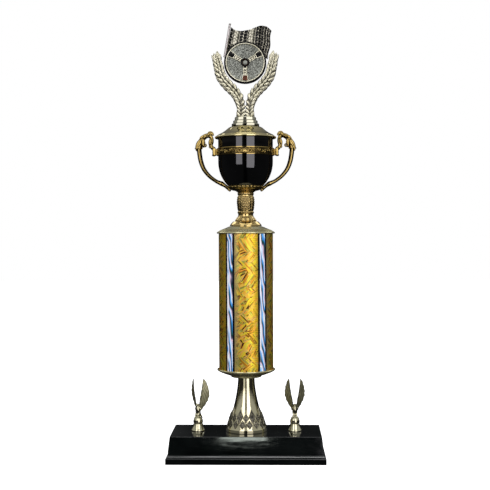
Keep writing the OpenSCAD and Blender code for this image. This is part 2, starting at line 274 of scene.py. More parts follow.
def sweep(path, section, squash=1.0, sides=20):
    """Rings along (x, z, radius) points in the XZ plane.

    section(t, angle) gives a factor on the radius and how dark the point is."""
    rings, wash = [], []
    count = len(path)
    for i, (x, z, radius) in enumerate(path):
        ahead = path[min(i + 1, count - 1)]
        behind = path[max(i - 1, 0)]
        along = Vector((ahead[0] - behind[0], ahead[1] - behind[1])).normalized()
        ring = []
        for k in range(sides):
            angle = TAU * k / sides
            factor, dark = section(i / (count - 1), angle)
            r = radius * factor
            ring.append((x + r * cos(angle) * along.y, r * squash * sin(angle),
                         z - r * cos(angle) * along.x))
            wash.append(dark)
        rings.append(ring)
    return *loft(rings), wash


def plain_section(t, angle):
    return 1.0, 0.0


def arm_section(t, angle):
    """Plain, with painted shade on the hollow side, which faces the bowl."""
    return 1.0, 1.2 * ramp(-cos(angle), -0.05, 0.3)


def ball(centre, radii, rows=10, columns=16):
    """A closed ellipsoid."""
    rings = []
    for i in range(rows + 1):
        lift = -pi / 2 + pi * (i + 0.5) / (rows + 1)
        rings.append([(centre[0] + radii[0] * cos(lift) * cos(TAU * j / columns),
                       centre[1] + radii[1] * cos(lift) * sin(TAU * j / columns),
                       centre[2] + radii[2] * sin(lift)) for j in range(columns)])
    return loft(rings)


def tube(points, radii, sides=12):
    """A closed round tube along 3-D points."""
    rings = []
    side = None
    for i, p in enumerate(points):
        behind, ahead = points[max(i - 1, 0)], points[min(i + 1, len(points) - 1)]
        along = (Vector(ahead) - Vector(behind)).normalized()
        side = side or along.orthogonal().normalized()
        side = (side - along * side.dot(along)).normalized()
        other = along.cross(side)
        rings.append([tuple(Vector(p) + side * radii[i] * cos(TAU * k / sides)
                            + other * radii[i] * sin(TAU * k / sides))
                      for k in range(sides)])
    return loft(rings)


# ---- Materials ----

class Value:
    """One output of a shader node. Arithmetic on it adds Math nodes."""

    def __init__(self, nodes, socket):
        self.nodes, self.socket = nodes, socket

    def other(self, name):
        """Another output of the same node."""
        return Value(self.nodes, self.socket.node.outputs[name])

    def maths(self, operation, *values):
        inputs = enumerate((self, *values))
        return self.nodes.add("ShaderNodeMath", inputs, operation=operation)

    def __add__(self, value):
        return self.maths("ADD", value)

    def __sub__(self, value):
        return self.maths("SUBTRACT", value)

    def __mul__(self, value):
        return self.maths("MULTIPLY", value)

    def __truediv__(self, value):
        return self.maths("DIVIDE", value)

    def between(self, low, high, start=0.0, end=1.0):
        """Maps the value from start..end to low..high."""
        return self.nodes.add("ShaderNodeMapRange", {
            "Value": self, "From Min": start, "From Max": end, "To Min": low, "To Max": high})

    def ramp(self, stops):
        """A colour for the value, from (position, colour) stops."""
        made = self.nodes.add("ShaderNodeValToRGB", {"Fac": self})
        points = made.socket.node.color_ramp.elements
        while len(points) < len(stops):
            points.new(0.5)
        for point, (position, colour) in zip(points, stops):
            point.position = position
            point.color = (*colour, 1)
        return made


class Nodes:
    """Adds nodes to a shader tree. What goes into one is a number, a colour or a Value."""

    def __init__(self, tree):
        self.tree = tree
        tree.nodes.clear()

    def put(self, socket, value):
        if isinstance(value, Value):
            self.tree.links.new(value.socket, socket)
        else:
            socket.default_value = value

    def add(self, kind, inputs=(), output=0, **settings):
        made = self.tree.nodes.new(kind)
        for key, value in settings.items():
            setattr(made, key, value)
        for key, value in dict(inputs).items():
            self.put(made.inputs[key], value)
        return Value(self, made.outputs[output])

    def end(self, kind, value):
        self.put(self.tree.nodes.new(kind).inputs["Surface"], value)

    def point(self, x, y, z=0.0):
        return self.add("ShaderNodeCombineXYZ", {"X": x, "Y": y, "Z": z})

    def stretched(self, scale):
        return self.add("ShaderNodeMapping", {"Vector": self.where, "Scale": scale})

    def blend(self, share, a, b):
        """A colour between two colours."""
        a, b = (v if isinstance(v, Value) else (*v, 1) for v in (a, b))
        return self.add("ShaderNodeMix", {0: share, 6: a, 7: b}, 2, data_type="RGBA")

    def noise(self, scale, detail=3.0, distortion=0.0, rough=0.5, where=None):
        return self.add("ShaderNodeTexNoise", {
            "Vector": where or self.where, "Scale": scale, "Detail": detail,
            "Distortion": distortion, "Roughness": rough}, "Fac")

    def surface(self, **inputs):
        """Sets or links inputs of the material's Principled shader."""
        for key, value in inputs.items():
            self.put(self.shader.socket.node.inputs[key.replace("_", " ")], value)

    def bump(self, height, strength, distance):
        self.surface(Normal=self.add("ShaderNodeBump", {"Height": height, "Strength": strength,
                                                        "Distance": distance}))


def start_material(name, **fixed):
    """The nodes of a new material: a Principled shader, and the object's own coordinates."""
    material = bpy.data.materials.new(name)
    material.use_nodes = True
    nodes = Nodes(material.node_tree)
    nodes.material = material
    nodes.shader = nodes.add("ShaderNodeBsdfPrincipled")
    nodes.end("ShaderNodeOutputMaterial", nodes.shader)
    nodes.surface(**fixed)
    nodes.where = nodes.add("ShaderNodeTexCoord", output="Object")
    return nodes


def plated(name, light, deep, wash_colour, rough, grain=0.00006, metallic=1.0):
    """Vacuum-plated metal: slight colour drift, soft haze, and each point's darkness, dark in the
    recesses and painted shade on some pieces.
    """
    nodes = start_material(name, Metallic=metallic)
    colour = nodes.blend(nodes.noise(38, 4).between(0, 1, 0.35, 0.65), light, deep)
    wash = nodes.add("ShaderNodeAttribute", output="Fac", attribute_name="wash")
    amount = (wash * nodes.noise(420, 2).between(0.72, 1.05, 0.3, 0.7)).maths("MINIMUM", 1.0)
    haze = nodes.noise(130, 5, 0.4).between(rough * 0.75, rough * 1.4, 0.3, 0.7)
    nodes.surface(Base_Color=nodes.blend(amount, colour, wash_colour),
                  Roughness=haze + amount * 0.3)
    nodes.bump(nodes.noise(900, 3), 0.35, grain)
    return nodes.material


def gloss_black(name, colour, rough, ripple, index=1.42):
    """Polished black: deep colour, faint ripple and a little dust haze."""
    nodes = start_material(name, IOR=index)
    brighter = tuple(c * 2.2 + 0.002 for c in colour)
    cloud = nodes.noise(22, 4).between(0, 1, 0.4, 0.75)
    haze = nodes.noise(160, 6, 0.6).between(rough * 0.7, rough * 1.6, 0.3, 0.7)
    nodes.surface(Base_Color=nodes.blend(cloud, colour, brighter), Roughness=haze)
    nodes.bump(nodes.noise(34, 2, where=nodes.stretched((0.35, 0.35, 1.6))), 0.25, ripple)
    return nodes.material


def grained(name, light, deep, scale, rough, depth, metallic=0.0, stretch=(1, 1, 1)):
    """A dull grained surface: board, fibre, felt or cast metal."""
    nodes = start_material(name, Metallic=metallic)
    grain = nodes.noise(scale, 6, 0.2, 0.65, nodes.stretched(stretch))
    nodes.surface(Base_Color=nodes.blend(grain.between(0, 1, 0.35, 0.65), light, deep),
                  Roughness=grain.between(rough * 0.85, min(rough * 1.15, 1)))
    nodes.bump(grain, 0.6, depth)
    return nodes.material


FILM_R = 35.25
PANEL = 44.3         # from one stripe to the next, round the film


def around_column(nodes):
    """Distance round the column from the front, and height, both in millimetres."""
    x = nodes.add("ShaderNodeSeparateXYZ", {"Vector": nodes.where}, "X")
    turn = x.maths("ARCTAN2", x.other("Y") * -1.0)
    return turn * FILM_R, x.other("Z") * 1000


def film_material():
    """Holographic gold film: long shards in a zigzag, with a fine plaid between them."""
    nodes = start_material("gold_film", Metallic=0.8)
    across, up = around_column(nodes)
    spread = nodes.point(across, up)
    drift = nodes.noise(0.035, 0, where=spread) - 0.5
    panel = (across + PANEL / 2).maths("WRAP", PANEL, 0.0) - PANEL / 2
    bend = drift * 9.0

    def shards(lean, wide, long, shift):
        """Long straight slivers leaning one way, each with its own tone."""
        c, d = cos(radians(lean)), sin(radians(lean))
        side = panel * -d + up * c + bend
        cell = nodes.point(side / wide, (panel * c + up * d) / long, shift)
        made = nodes.add("ShaderNodeTexVoronoi", {"Vector": cell, "Scale": 1.0}, "Color")
        own = nodes.add("ShaderNodeSeparateColor", {"Color": made})
        return (own + made.other("Distance") * 0.3).maths("FRACT"), cell

    def choose(share, a, b):
        """a where share is 1 and b where it's 0."""
        return a * share + b * (share * -1.0 + 1.0)

    rising, fan = shards(56, 2.0, 26.0, 0.0)
    falling, _ = shards(-50, 2.0, 23.0, 3.3)
    cross, _ = shards(30, 1.8, 17.0, 7.1)
    zigzag = (up + drift * 14.0).maths("WRAP", 30.0, 0.0).maths("GREATER_THAN", 15.0)
    mixed = nodes.noise(0.13, 1, 0.4, where=spread).maths("GREATER_THAN", 0.54)
    tone = choose(mixed, cross, choose(zigzag, rising, falling))
    colour = tone.ramp([
        (0.0, (0.98, 0.34, 0.06)), (0.16, (0.98, 0.60, 0.05)), (0.30, (0.92, 0.58, 0.16)),
        (0.40, (0.20, 0.22, 0.02)), (0.48, (0.56, 0.52, 0.10)), (0.62, (1.0, 0.84, 0.04)),
        (0.78, (0.70, 0.26, 0.02)), (0.92, (0.04, 0.02, 0.002))])
    threads = (across * 0.5).maths("PINGPONG", 0.5)
    threads = threads.maths("MAXIMUM", (up * 0.42).maths("PINGPONG", 0.5))
    plaid = threads.between(0.0, 1.0, 0.3, 0.5)
    slow = nodes.noise(0.16, 3, 0.6, where=spread)
    for share, light, deep in (
            (panel.between(0.0, 0.8, 4.0, 12.0) * slow.between(0.2, 1.0, 0.42, 0.56),
             (1.0, 0.68, 0.03), (0.46, 0.30, 0.02)),          # yellow on the right
            (panel.between(0.85, 0.0, -13.0, -7.0) * slow.between(0.6, 1.0, 0.4, 0.55),
             (0.72, 0.58, 0.24), (0.52, 0.43, 0.18))):          # cream on the left
        colour = nodes.blend(share, colour, nodes.blend(plaid, light, deep))
    fine = nodes.noise(7.0, 3, 0.4, where=fan)
    nodes.surface(Base_Color=colour, Roughness=fine.between(0.36, 0.46, 0.3, 0.7))
    nodes.bump(tone + fine * 0.15, 0.2, 0.0002)
    return nodes.material


def prism_material():
    """Prismatic silver foil: a white band beside long twisting streaks of blue, rose and teal."""
    nodes = start_material("silver_prism", Metallic=0.1)
    across, up = around_column(nodes)
    stripe = across.maths("WRAP", PANEL, 0.0) - PANEL / 2
    drift = nodes.noise(1.0, 1, 0.3, where=nodes.point(across * 0.10, up * 0.03))
    value = (drift * 2.4 + (stripe * 0.17 + up * 0.028)).maths("FRACT")
    colour = value.ramp([
        (0.0, (0.50, 0.72, 1.0)), (0.12, (0.95, 0.66, 0.76)), (0.22, (0.10, 0.11, 0.18)),
        (0.36, (0.004, 0.012, 0.02)), (0.46, (0.01, 0.14, 0.13)), (0.56, (0.04, 0.24, 0.75)),
        (0.74, (0.16, 0.50, 1.0)), (0.88, (1.0, 1.0, 0.94)), (1.0, (0.50, 0.72, 1.0))])
    white = stripe.between(1.0, 0.0, -1.6, -0.5) * drift.between(0.1, 1.0, 0.44, 0.52)
    nodes.surface(Base_Color=nodes.blend(white, colour, (1.0, 1.0, 1.0)),
                  Roughness=nodes.noise(700, 2).between(0.24, 0.38))
    nodes.bump(value, 0.3, 0.0001)
    return nodes.material


CAP_GOLD = plated("cap_gold", (0.72, 0.66, 0.37), (0.62, 0.57, 0.31), (0.02, 0.018, 0.012), 0.09,
                  metallic=0.72)
LID_GOLD = plated("lid_gold", (0.72, 0.62, 0.32), (0.62, 0.53, 0.27), (0.03, 0.027, 0.018), 0.07)
TOPPER_GOLD = plated("topper_gold", (0.60, 0.58, 0.47), (0.50, 0.48, 0.38),
                     (0.012, 0.011, 0.009), 0.035)
# Painted shade: a darker copy of the topper gold, which dims the pedestal's highlights.
PEDESTAL_GOLD = plated("pedestal_gold", (0.41, 0.395, 0.30), (0.35, 0.34, 0.25),
                       (0.010, 0.009, 0.007), 0.03)
LAUREL_GOLD = plated("laurel_gold", (0.94, 0.91, 0.72), (0.80, 0.77, 0.56),
                     (0.02, 0.017, 0.010), 0.36, 0.0001, 0.9)
EAGLE_GOLD = plated("eagle_gold", (0.60, 0.57, 0.39), (0.50, 0.47, 0.31),
                    (0.012, 0.011, 0.009), 0.06)
FEATHER_GOLD = plated("feather_gold", (0.52, 0.50, 0.31), (0.40, 0.38, 0.22),
                      (0.02, 0.018, 0.010), 0.42, 0.0001, 0.9)
LATTICE_GOLD = plated("lattice_gold", (0.62, 0.57, 0.38), (0.52, 0.48, 0.31),
                      (0.035, 0.034, 0.037), 0.06)
WARM = plated("warm_gold", (0.50, 0.36, 0.12), (0.38, 0.27, 0.08), (0.012, 0.008, 0.005), 0.06)
STEM_GOLD = plated("stem_gold", (0.66, 0.49, 0.20), (0.54, 0.39, 0.15), (0.02, 0.012, 0.005),
                   0.15, 0.0001)
PEBBLE = plated("pebbled_ground", (0.42, 0.44, 0.38), (0.24, 0.25, 0.21), (0.05, 0.05, 0.045),
                0.5, 0.0005, 0.7)
COPPERY = plated("coppery_pad", (0.12, 0.05, 0.03), (0.04, 0.018, 0.012), (0.02, 0.01, 0.008), 0.3)
POLE_METAL = plated("pole_metal", (0.56, 0.52, 0.50), (0.44, 0.41, 0.39), (0.03, 0.03, 0.03), 0.34)
FLAG_GOLD = plated("flag_gold", (0.78, 0.75, 0.60), (0.62, 0.59, 0.45), (0.006, 0.006, 0.005), 0.3)
BLACK_PLASTIC = gloss_black("black_plastic", (0.0018, 0.0026, 0.0025), 0.05, 0.0006, 1.4)
BLACK_ENAMEL = gloss_black("black_enamel", (0.0008, 0.0008, 0.001), 0.04, 0.0003, 1.7)
# Black paint; on the flag it also gives painted shade to the squares away from the wave crests.
BLACK_PAINT_AND_SHADE = gloss_black("black_paint_and_shade", (0.003, 0.003, 0.003), 0.22, 0.0002, 1.25)
BLACK_TAPE = gloss_black("black_tape", (0.004, 0.0045, 0.008), 0.16, 0.0002)
STEEL = grained("zinc_steel", (0.62, 0.63, 0.64), (0.5, 0.5, 0.52), 260, 0.3, 0.00005, 1.0,
                (1, 1, 8))
CAST = grained("cast_weight", (0.12, 0.12, 0.125), (0.07, 0.07, 0.075), 300, 0.65, 0.0002, 0.9)
BOARD = grained("tube_board", (0.52, 0.44, 0.32), (0.42, 0.34, 0.24), 240, 0.85, 0.0001)
HARDBOARD = grained("hardboard", (0.26, 0.15, 0.08), (0.16, 0.09, 0.05), 500, 0.8, 0.0001)
FELT = grained("felt", (0.03, 0.07, 0.05), (0.012, 0.035, 0.026), 900, 1.0, 0.0003)
GOLD_FILM = film_material()
SILVER_PRISM = prism_material()


# ---- Plinth ----

def box_ring(half_x, half_y, z, corner, steps=4):
    """A rectangle with rounded corners, at one height."""
    out = []
    for turn, sx, sy in ((0, 1, 1), (90, -1, 1), (180, -1, -1), (270, 1, -1)):
        for j in range(steps + 1):
            a = radians(turn + 90 * j / steps)
            out.append((sx * (half_x - corner) + corner * cos(a),
                        sy * (half_y - corner) + corner * sin(a), z))
    return out


def make_plinth():
    high = span("base_shell")[1]
    rim, recess = 3.0, 3.05          # width of the rim it stands on, and the cover's depth
    side = [(rim, recess), (rim, 0), (0, 0), (0, 7), (0.9, 7.9), (1.1, 9.2), (2.1, 10.4),
            (3.0, 11.6), (3.1, 16), (5.3, high.z), (8, high.z)]
    radii = [0.01, 0.3, 0.35, 0.55, 0.35, 0.4, 0.4, 0.5, 1, 1.9, 1]
    profile = []
    for i, corner in enumerate(side):
        if i in (0, len(side) - 1):
            profile.append(corner)
            continue
        profile += fillet([side[i - 1], corner, side[i + 1]], radii[i])[5:10]
    rings = [box_ring(high.x - inset, high.y - inset, z, 1.0) for inset, z in profile]
    verts, faces = loft(rings)
    shell = build("base_shell", verts, faces, BLACK_PLASTIC, sharp=60)
    shell.modifiers.new("even", "WEIGHTED_NORMAL").keep_sharp = True
    return place(shell, "root", "black_plastic", "base_shell")


# ---- Riser and column ----

def make_riser():
    z0, z1 = bottom("riser"), top("riser")
    collar_top = 29.5
    cone = [(10.7 + 6.4 * (1 - t) ** 1.7, z0 + collar_top + t * (z1 - z0 - collar_top))
            for t in [i / 12 for i in range(1, 13)]]
    foot = [(26.3, 0), (26.5, 0.4), (26.55, 2.4), (26.55, 4.2)]
    collar = spline([(26.2, 4.8), (24.9, 7.4), (23.8, 10.6), (21.7, 17.2), (19.8, 22.6),
                     (18.3, 26.6), (17.15, 29.4)], 14)
    inner = [(ROD_R, z1), (ROD_R, z1 - 3), (8.8, z1 - 3), (15, z0 + 31), (23, z0 + 8), (24.6, z0)]
    outline = [(r, z0 + z) for r, z in foot + collar] + cone + inner

    def diamonds(turn, r, z):
        """Raised stippled diamonds: a low, a small and a tall row between smooth straps."""
        h = z - z0
        if r < 16 or h < 5.4 or h > 30:
            return 0, 0, 0
        best = -1.0
        for step, first, middle, wide, tall in ((22.5, 11.25, 11.2, 4.1, 5.6),
                                                (45, 0, 19.2, 4.0, 6.0),
                                                (45, 22.5, 20.8, 4.6, 9.6)):
            away = (degrees(turn) - first + step / 2) % step - step / 2
            best = max(best, 1 - abs(radians(away) * r) / wide - abs(h - middle) / tall)
        raised = ramp(best, 0.0, 0.09)
        spot = Vector((r * sin(turn), r * cos(turn), z))
        grit = noise.noise(spot * 1.1) + 0.7 * noise.noise(spot * 2.3)
        # Painted shade: everything in the lattice band is darkened a little, the straps too.
        shade = 0.15 * ramp(h, 5.4, 8) * (1 - ramp(h, 22, 27))
        return (0.85 + 0.5 * grit) * raised, 0, max(shade, raised * (1.0 - 0.8 * max(0, grit)))

    return lathe("riser", "champagne_gold", outline, LATTICE_GOLD, 480, diamonds)


def make_lower_cap():
    z0 = bottom("column_lower_cap")
    side = [(ROD_R, 0), (19.2, 0), (19.9, 0.7), (20.1, 1.7), (25.7, 3.6), (32.6, 6.2),
            (37.2, 8.6), (37.9, 9.8), (37.4, 10.7), (35.6, 10.7), (35.6, 9.6), (30, 9.2),
            (24, 5.6), (18, 3.4), (ROD_R, 3.2)]
    outline = fillet([(r, z0 + z) for r, z in side], 0.7)
    return lathe("column_lower_cap", "champagne_gold", outline, CAP_GOLD, 160)


def make_upper_cap():
    z0 = top("column_tube")
    side = [(20.5, 8.2), (ROD_R, 8.2), (ROD_R, 5), (24, 4.6), (34, 0.1), (35.6, 0), (35.6, -1.2),
            (37.3, -1.2), (37.9, -0.3), (37.4, 0.6), (32.9, 3.4), (26.2, 6), (23.4, 7.3)]
    outline = finer(fillet([(r, z0 + z) for r, z in side], 0.6), 0.9)

    def reeds(turn, r, z):
        if z < z0 + 0.55 or r < 29.5:
            return 0, 0, 0
        depth = ramp(r, 29.5, 30.5) * (1 - ramp(r, 36.4, 37.1))
        groove = 0.5 - 0.5 * cos(112 * turn)
        return 0, -0.5 * depth * groove, depth * groove ** 2

    lathe("column_upper_cap", "champagne_gold", outline, CAP_GOLD, 672, reeds, 60)


def make_film():
    """The film, with the step where its ends overlap at the back."""
    low, high = span("column_film")
    outline = finer([(high.x - 0.22, low.z + 0.1), (high.x, low.z + 0.1),
                     (high.x, high.z - 0.1), (high.x - 0.22, high.z - 0.1)], 6)

    def seam(turn, r, z):
        past = (turn - pi) * r
        return (0.06 if 0 < past < 5 and r > high.x - 0.1 else 0), 0, 0

    lathe("column_film", "gold_film", outline, GOLD_FILM, 288, seam)


FRONT_PANEL_TURN = 1.8          # the column stands a little turned to the viewer's right
TAPE_TURN, PRISM_TURN = 22, 13          # how far round they reach, in degrees


def strip_rings(middle, width, r_in, r_out, z0, z1):
    """One strip down the column, centred on a turn from the front, in degrees."""
    rings = []
    for i in range(17):
        a = radians(middle + width * (i / 16 - 0.5))
        rings.append([(r * sin(a), -r * cos(a), z)
                      for r, z in ((r_in, z0), (r_out, z0), (r_out, z1), (r_in, z1))])
    return loft(rings)


def make_stripes():
    film = span("column_film")[1].x
    low, high = span("stripe_tapes")
    tapes, prisms = Heap(), Heap()
    for i in range(5):
        middle = FRONT_PANEL_TURN + (i + 0.5) * 72
        tapes.add(*strip_rings(middle, TAPE_TURN, film - 0.02, film + 0.16, low.z, high.z))
        prisms.add(*strip_rings(middle, PRISM_TURN, film + 0.1, film + 0.24, low.z, high.z))
    tapes.place("stripe_tapes", "root", "black_tape", BLACK_TAPE)
    return prisms.place("stripe_prisms", "root", "silver_prism", SILVER_PRISM)


# ---- Cup ----

def make_stem():
    z0, z1 = bottom("cup_stem"), top("cup_stem")
    side = [(20.5, 0.2), (20.6, 1.2), (19.5, 3), (17.2, 5.4), (16.2, 6.2), (13.6, 6.4),
            (13.4, 7.6), (12.2, 9.4), (11.1, 11), (10.0, 13.4), (9.8, 15.2), (9.9, 16.6),
            (10.3, 17.4), (10.4, 18.4), (9.9, 19.4), (9.9, 20.4), (10.2, 23), (10.6, 26.2),
            (10.9, 30.4), (10.9, 33.4), (10.6, 36), (10.1, 38.6), (9.9, 40.6), (10.3, 41.4),
            (10.4, 42.6), (10.0, 43.4), (10.9, 44.3), (12.9, 45.6)]
    outer = finer(spline([(r, z0 + z) for r, z in side], 4), 1, closed=False)
    outline = [(ROD_R, z0 + 0.2)] + outer + [(ROD_R, z1 - 0.1)]

    def leaves(turn, r, z):
        h = z - z0
        if r < 9:
            return 0, 0, 0
        if 20 < h < 40:
            return vine_relief(turn, h)
        if 6.6 < h < 12.5:          # petals over the foot
            petal = abs(sin(6 * turn)) ** 0.7
            fade = ramp(h, 6.6, 7.4) * (1 - ramp(h, 11, 12.5))
            return 0.9 * petal * fade, 0, 0.8 * (1 - petal) * fade
        if 16.4 < h < 19.2 or 40.8 < h < 43.4:          # beads
            bead = abs(sin(13 * turn))
            return 0.3 * bead, 0, 0.75 * (1 - bead)
        return 0, 0, 0

    lathe("cup_stem", "warm_gold", outline, STEM_GOLD, 320, leaves, 70)


def vine_relief(turn, h):
    """Upright leaves around the barrel, with a bunch of round fruit in each panel."""
    fade = ramp(h, 20, 22) * (1 - ramp(h, 38, 40))
    panel = (turn * 4 / TAU + 0.5) % 1 - 0.5          # four panels round the barrel
    reach = abs(panel) * 2
    rows = (h - 20) / 2.7
    column = panel * 8 + 0.5 * (int(rows) % 2)
    berry = bump(hypot(column % 1 - 0.5, rows % 1 - 0.5), 0.5)
    bunch = 1 - ramp(reach, 0.42, 0.52)
    vein = abs(sin((h * 0.6 - reach * 5) * 1.5))
    leaf = (0.25 + 0.75 * vein) * ramp(reach, 0.45, 0.56) * (1 - ramp(reach, 0.9, 1.0))
    height = 0.75 * berry ** 0.5 * bunch + 0.65 * leaf
    return height * fade, 0, fade * max(0, 1.0 - 1.7 * height)


def make_calyx():
    z0 = bottom("cup_calyx")
    side = [(ROD_R, 0.1), (12.9, 0.1), (17.2, 1.0), (20.0, 2.0), (22.2, 3.6), (23.0, 5.0),
            (22.9, 6.0), (22.2, 6.3), (20.3, 5.0), (ROD_R, 4.4)]
    outline = finer(fillet([(r, z0 + z) for r, z in side], 0.5, 3), 0.8)

    def scallops(turn, r, z):
        if r < 14 or z > z0 + 6.4:
            return 0, 0, 0
        outer = ramp(r, 14.5, 21)
        lobe = abs(sin(12 * turn))
        ridge = lobe ** 0.6
        dark = 0.75 * (1 - ridge) * outer
        return 0.9 * (ridge - 0.45) * outer, 0.5 * (ridge - 0.6) * outer, dark

    lathe("cup_calyx", "warm_gold", outline, WARM, 384, scallops, 70)


BOWL_R = 35.5
BOWL_SHOULDER = 33.5          # the wall is straight from this height above the bottom
BOWL_DEPTH = 40.5          # how deep its ellipse would be without the flat bottom


def bowl_radius(z):
    """Outside radius of the bowl at a height above its flat bottom."""
    below = max(BOWL_SHOULDER - z, 0)
    return BOWL_R * sqrt(1 - (below / BOWL_DEPTH) ** 2)


def make_bowl():
    z0, z1 = bottom("cup_bowl"), top("cup_bowl")
    heights = [BOWL_SHOULDER * (i / 36) ** 1.15 for i in range(37)]
    outer = [(bowl_radius(h), z0 + h) for h in heights]
    outer += [(BOWL_R, z1 - 0.4), (35.3, z1 - 0.1), (34.7, z1 - 0.1), (34.4, z1 - 0.4)]
    inner = [(r - 1.1, z) for r, z in reversed(outer[4:37:4])]
    outline = [(ROD_R, z0)] + outer + inner + [(16, z0 + 1.4), (ROD_R, z0 + 1.4)]
    lathe("cup_bowl", "black_enamel", outline, BLACK_ENAMEL, 192)


def scroll_height(across, up):
    """Relief of a leafy scroll. across runs round the band in mm, up is 0 at its middle."""
    period = 17.0
    phase = TAU * across / period
    stem_line = 1.9 * sin(phase)
    height = bump(up - stem_line, 0.75)
    step = period / 2
    cell = round(across / step)
    side = 1 if cell % 2 == 0 else -1
    dx, dy = across - cell * step, up + side * 1.1
    ring = abs(hypot(dx, dy) - 1.55)
    height = max(height, bump(ring, 0.62), bump(hypot(dx, dy), 0.7))
    for k in (-1, 1):
        lx, ly = dx - k * 2.6, dy - side * 0.9
        height = max(height, bump(hypot((lx + ly * k * side) * 0.75,
                                             (ly - lx * k * side) * 1.5), 1.25) * 0.9)
    return height


def palmette_height(across, up):
    """Relief of the fan of leaves in the middle of the band's front and back."""
    height = bump(hypot(across, up + 2.6), 1.5)
    for k in range(-3, 4):
        lean = k * 0.42
        run = hypot(across, up + 3.2)
        off = atan2(across, up + 3.2) - lean
        if run < 1.2 or abs(off) > 1.2:
            continue
        reach = 6.4 - 0.25 * abs(k)
        taper = max(0.0, sin(pi * min(run / reach, 1)))
        height = max(height, bump(off * run, 0.25 + 0.85 * taper) * ramp(reach - run, 0, 0.5))
    for k in (-1, 1):
        dx, dy = across - k * 6.6, up + 0.4
        height = max(height, bump(abs(hypot(dx, dy) - 2.2), 0.7),
                     bump(hypot(dx, dy), 0.8))
    return height


def make_band():
    low, high = span("cup_band")
    middle, half = (low.z + high.z) / 2, (high.z - low.z) / 2
    face = finer([(36.1, middle - half + 0.9), (36.1, middle + half - 0.9)], 0.2, closed=False)
    outline = [(35.56, middle - half), (36.7, middle - half), (36.75, middle - half + 0.75)] + face
    outline += [(36.75, middle + half - 0.75), (36.7, middle + half), (35.56, middle + half)]

    def scrolls(turn, r, z):
        up = z - middle
        if r < 36 or r > 36.4 or abs(up) > half - 0.85:
            return 0, 0, 0
        turn = (turn + pi) % TAU - pi
        nearest = turn if abs(turn) < pi / 2 else (turn % TAU) - pi
        across = nearest * 36.5
        if abs(across) < 10.2:
            height = palmette_height(across, up)
        else:
            height = scroll_height(abs(across) - 10.2, up) * ramp(abs(across), 10.2, 11)
        return 0.85 * height, 0, max(0, 0.95 - 1.25 * height)

    heap = Heap()
    heap.add(*turn_outline(outline, 900, scrolls))
    lug = ((35.2, 3.6, 4.6), (37.0, 3.9, 4.8), (37.4, 3.3, 4.2), (38.2, 3.2, 4.0),
           (38.6, 3.7, 4.6), (39.0, 3.7, 4.6))
    for side in (-1, 1):
        heap.add(*loft([[(side * x, y, middle + z) for y, z, _ in box_ring(hy, hz, 0, 0.8, 3)]
                        for x, hy, hz in lug]))
    heap.place("cup_band", "root", "warm_gold", WARM, 60)


def leaf_section(flutes, depth):
    """A fluted cross-section, dark in its grooves."""
    def section(t, angle):
        groove = abs(sin(flutes * angle / 2 + 2.2 * t))
        return 1 - depth * (1 - groove ** 0.7), 0.85 * (1 - groove ** 0.5)
    return section


def curl(centre, start, turns, size, radius, squash):
    """A scroll that winds in from its outer end. start is its first angle."""
    steps = int(26 * abs(turns)) + 6
    path = []
    for i in range(steps + 1):
        t = i / steps
        a = radians(start) + TAU * turns * t
        reach = size * (1 - 0.72 * t)
        path.append((centre[0] + reach * cos(a), centre[1] + reach * sin(a),
                     radius * (1 - 0.45 * t)))
    return sweep(path, leaf_section(4, 0.14), squash)


def leaf_shell(length, width, thick, veins=0, rows=9, fold=0.35):
    """A pointed leaf along +X with its face to +Z and its edges along Y."""
    across = (-1, -0.8, -0.45, -0.14, 0, 0.14, 0.45, 0.8, 1)
    rings, wash = [], []
    for i in range(rows + 1):
        t = i / rows
        half = width / 2 * (sin(pi * min(t * 0.86 + 0.1, 1)) ** 0.85) + 0.05
        full = 0.3 + 0.7 * sin(pi * (0.1 + 0.8 * t))
        ring = []
        for u in across:
            crown = thick * full * (1 - fold * u * u - 0.5 * u ** 4)
            groove = 0.35 * thick * max(0, 1 - (abs(u) / 0.16) ** 2)
            rib = veins * 0.12 * thick * cos(TAU * (t * 5 - abs(u) * 1.6))
            ring.append((length * t, half * u, crown - groove + rib * (1 - abs(u))))
            dark = 1.3 * ramp(abs(u), 0.66, 0.98) + (0.25 if abs(u) < 0.05 else 0)
            wash.append(max(dark, 0.85 * (1 - ramp(t, 0.02, 0.2))))
        for u in (0.7, 0, -0.7):
            ring.append((length * t, half * u, -0.25 * thick))
            wash.append(0.9)
        rings.append(ring)
    return *loft(rings), wash


def set_leaf(heap, shell, where, angle, lift=0.0, roll=0.0, facing=-1):
    """Puts a leaf at (x, y, z), pointing along angle in the XZ plane, its face to -Y or +Y."""
    verts, faces, wash = shell
    ca, sa = cos(angle), sin(angle)
    out = []
    for x, y, z in verts:
        y2 = y * cos(roll) - z * sin(roll)
        z2 = y * sin(roll) + z * cos(roll)
        x3 = x * cos(lift) - z2 * sin(lift)
        z3 = x * sin(lift) + z2 * cos(lift)
        out.append((where[0] + x3 * ca - y2 * sa, where[1] + facing * z3,
                    where[2] + x3 * sa + y2 * ca))
    heap.add(out, faces, wash)


def place_pair(heap, name, *how):
    """Places the shells as the right piece, and their mirror image as the left one."""
    heap.place(name + "_right", *how)
    heap.moved(lambda v: (-v[0], v[1], v[2])).place(name + "_left", *how)


def set_both(heap, shell, x, depth, z, angle):
    """The same leaf on the front and on the back, its angle in degrees."""
    for facing in (-1, 1):
        set_leaf(heap, shell, (x, facing * depth, z), radians(angle), facing=facing)


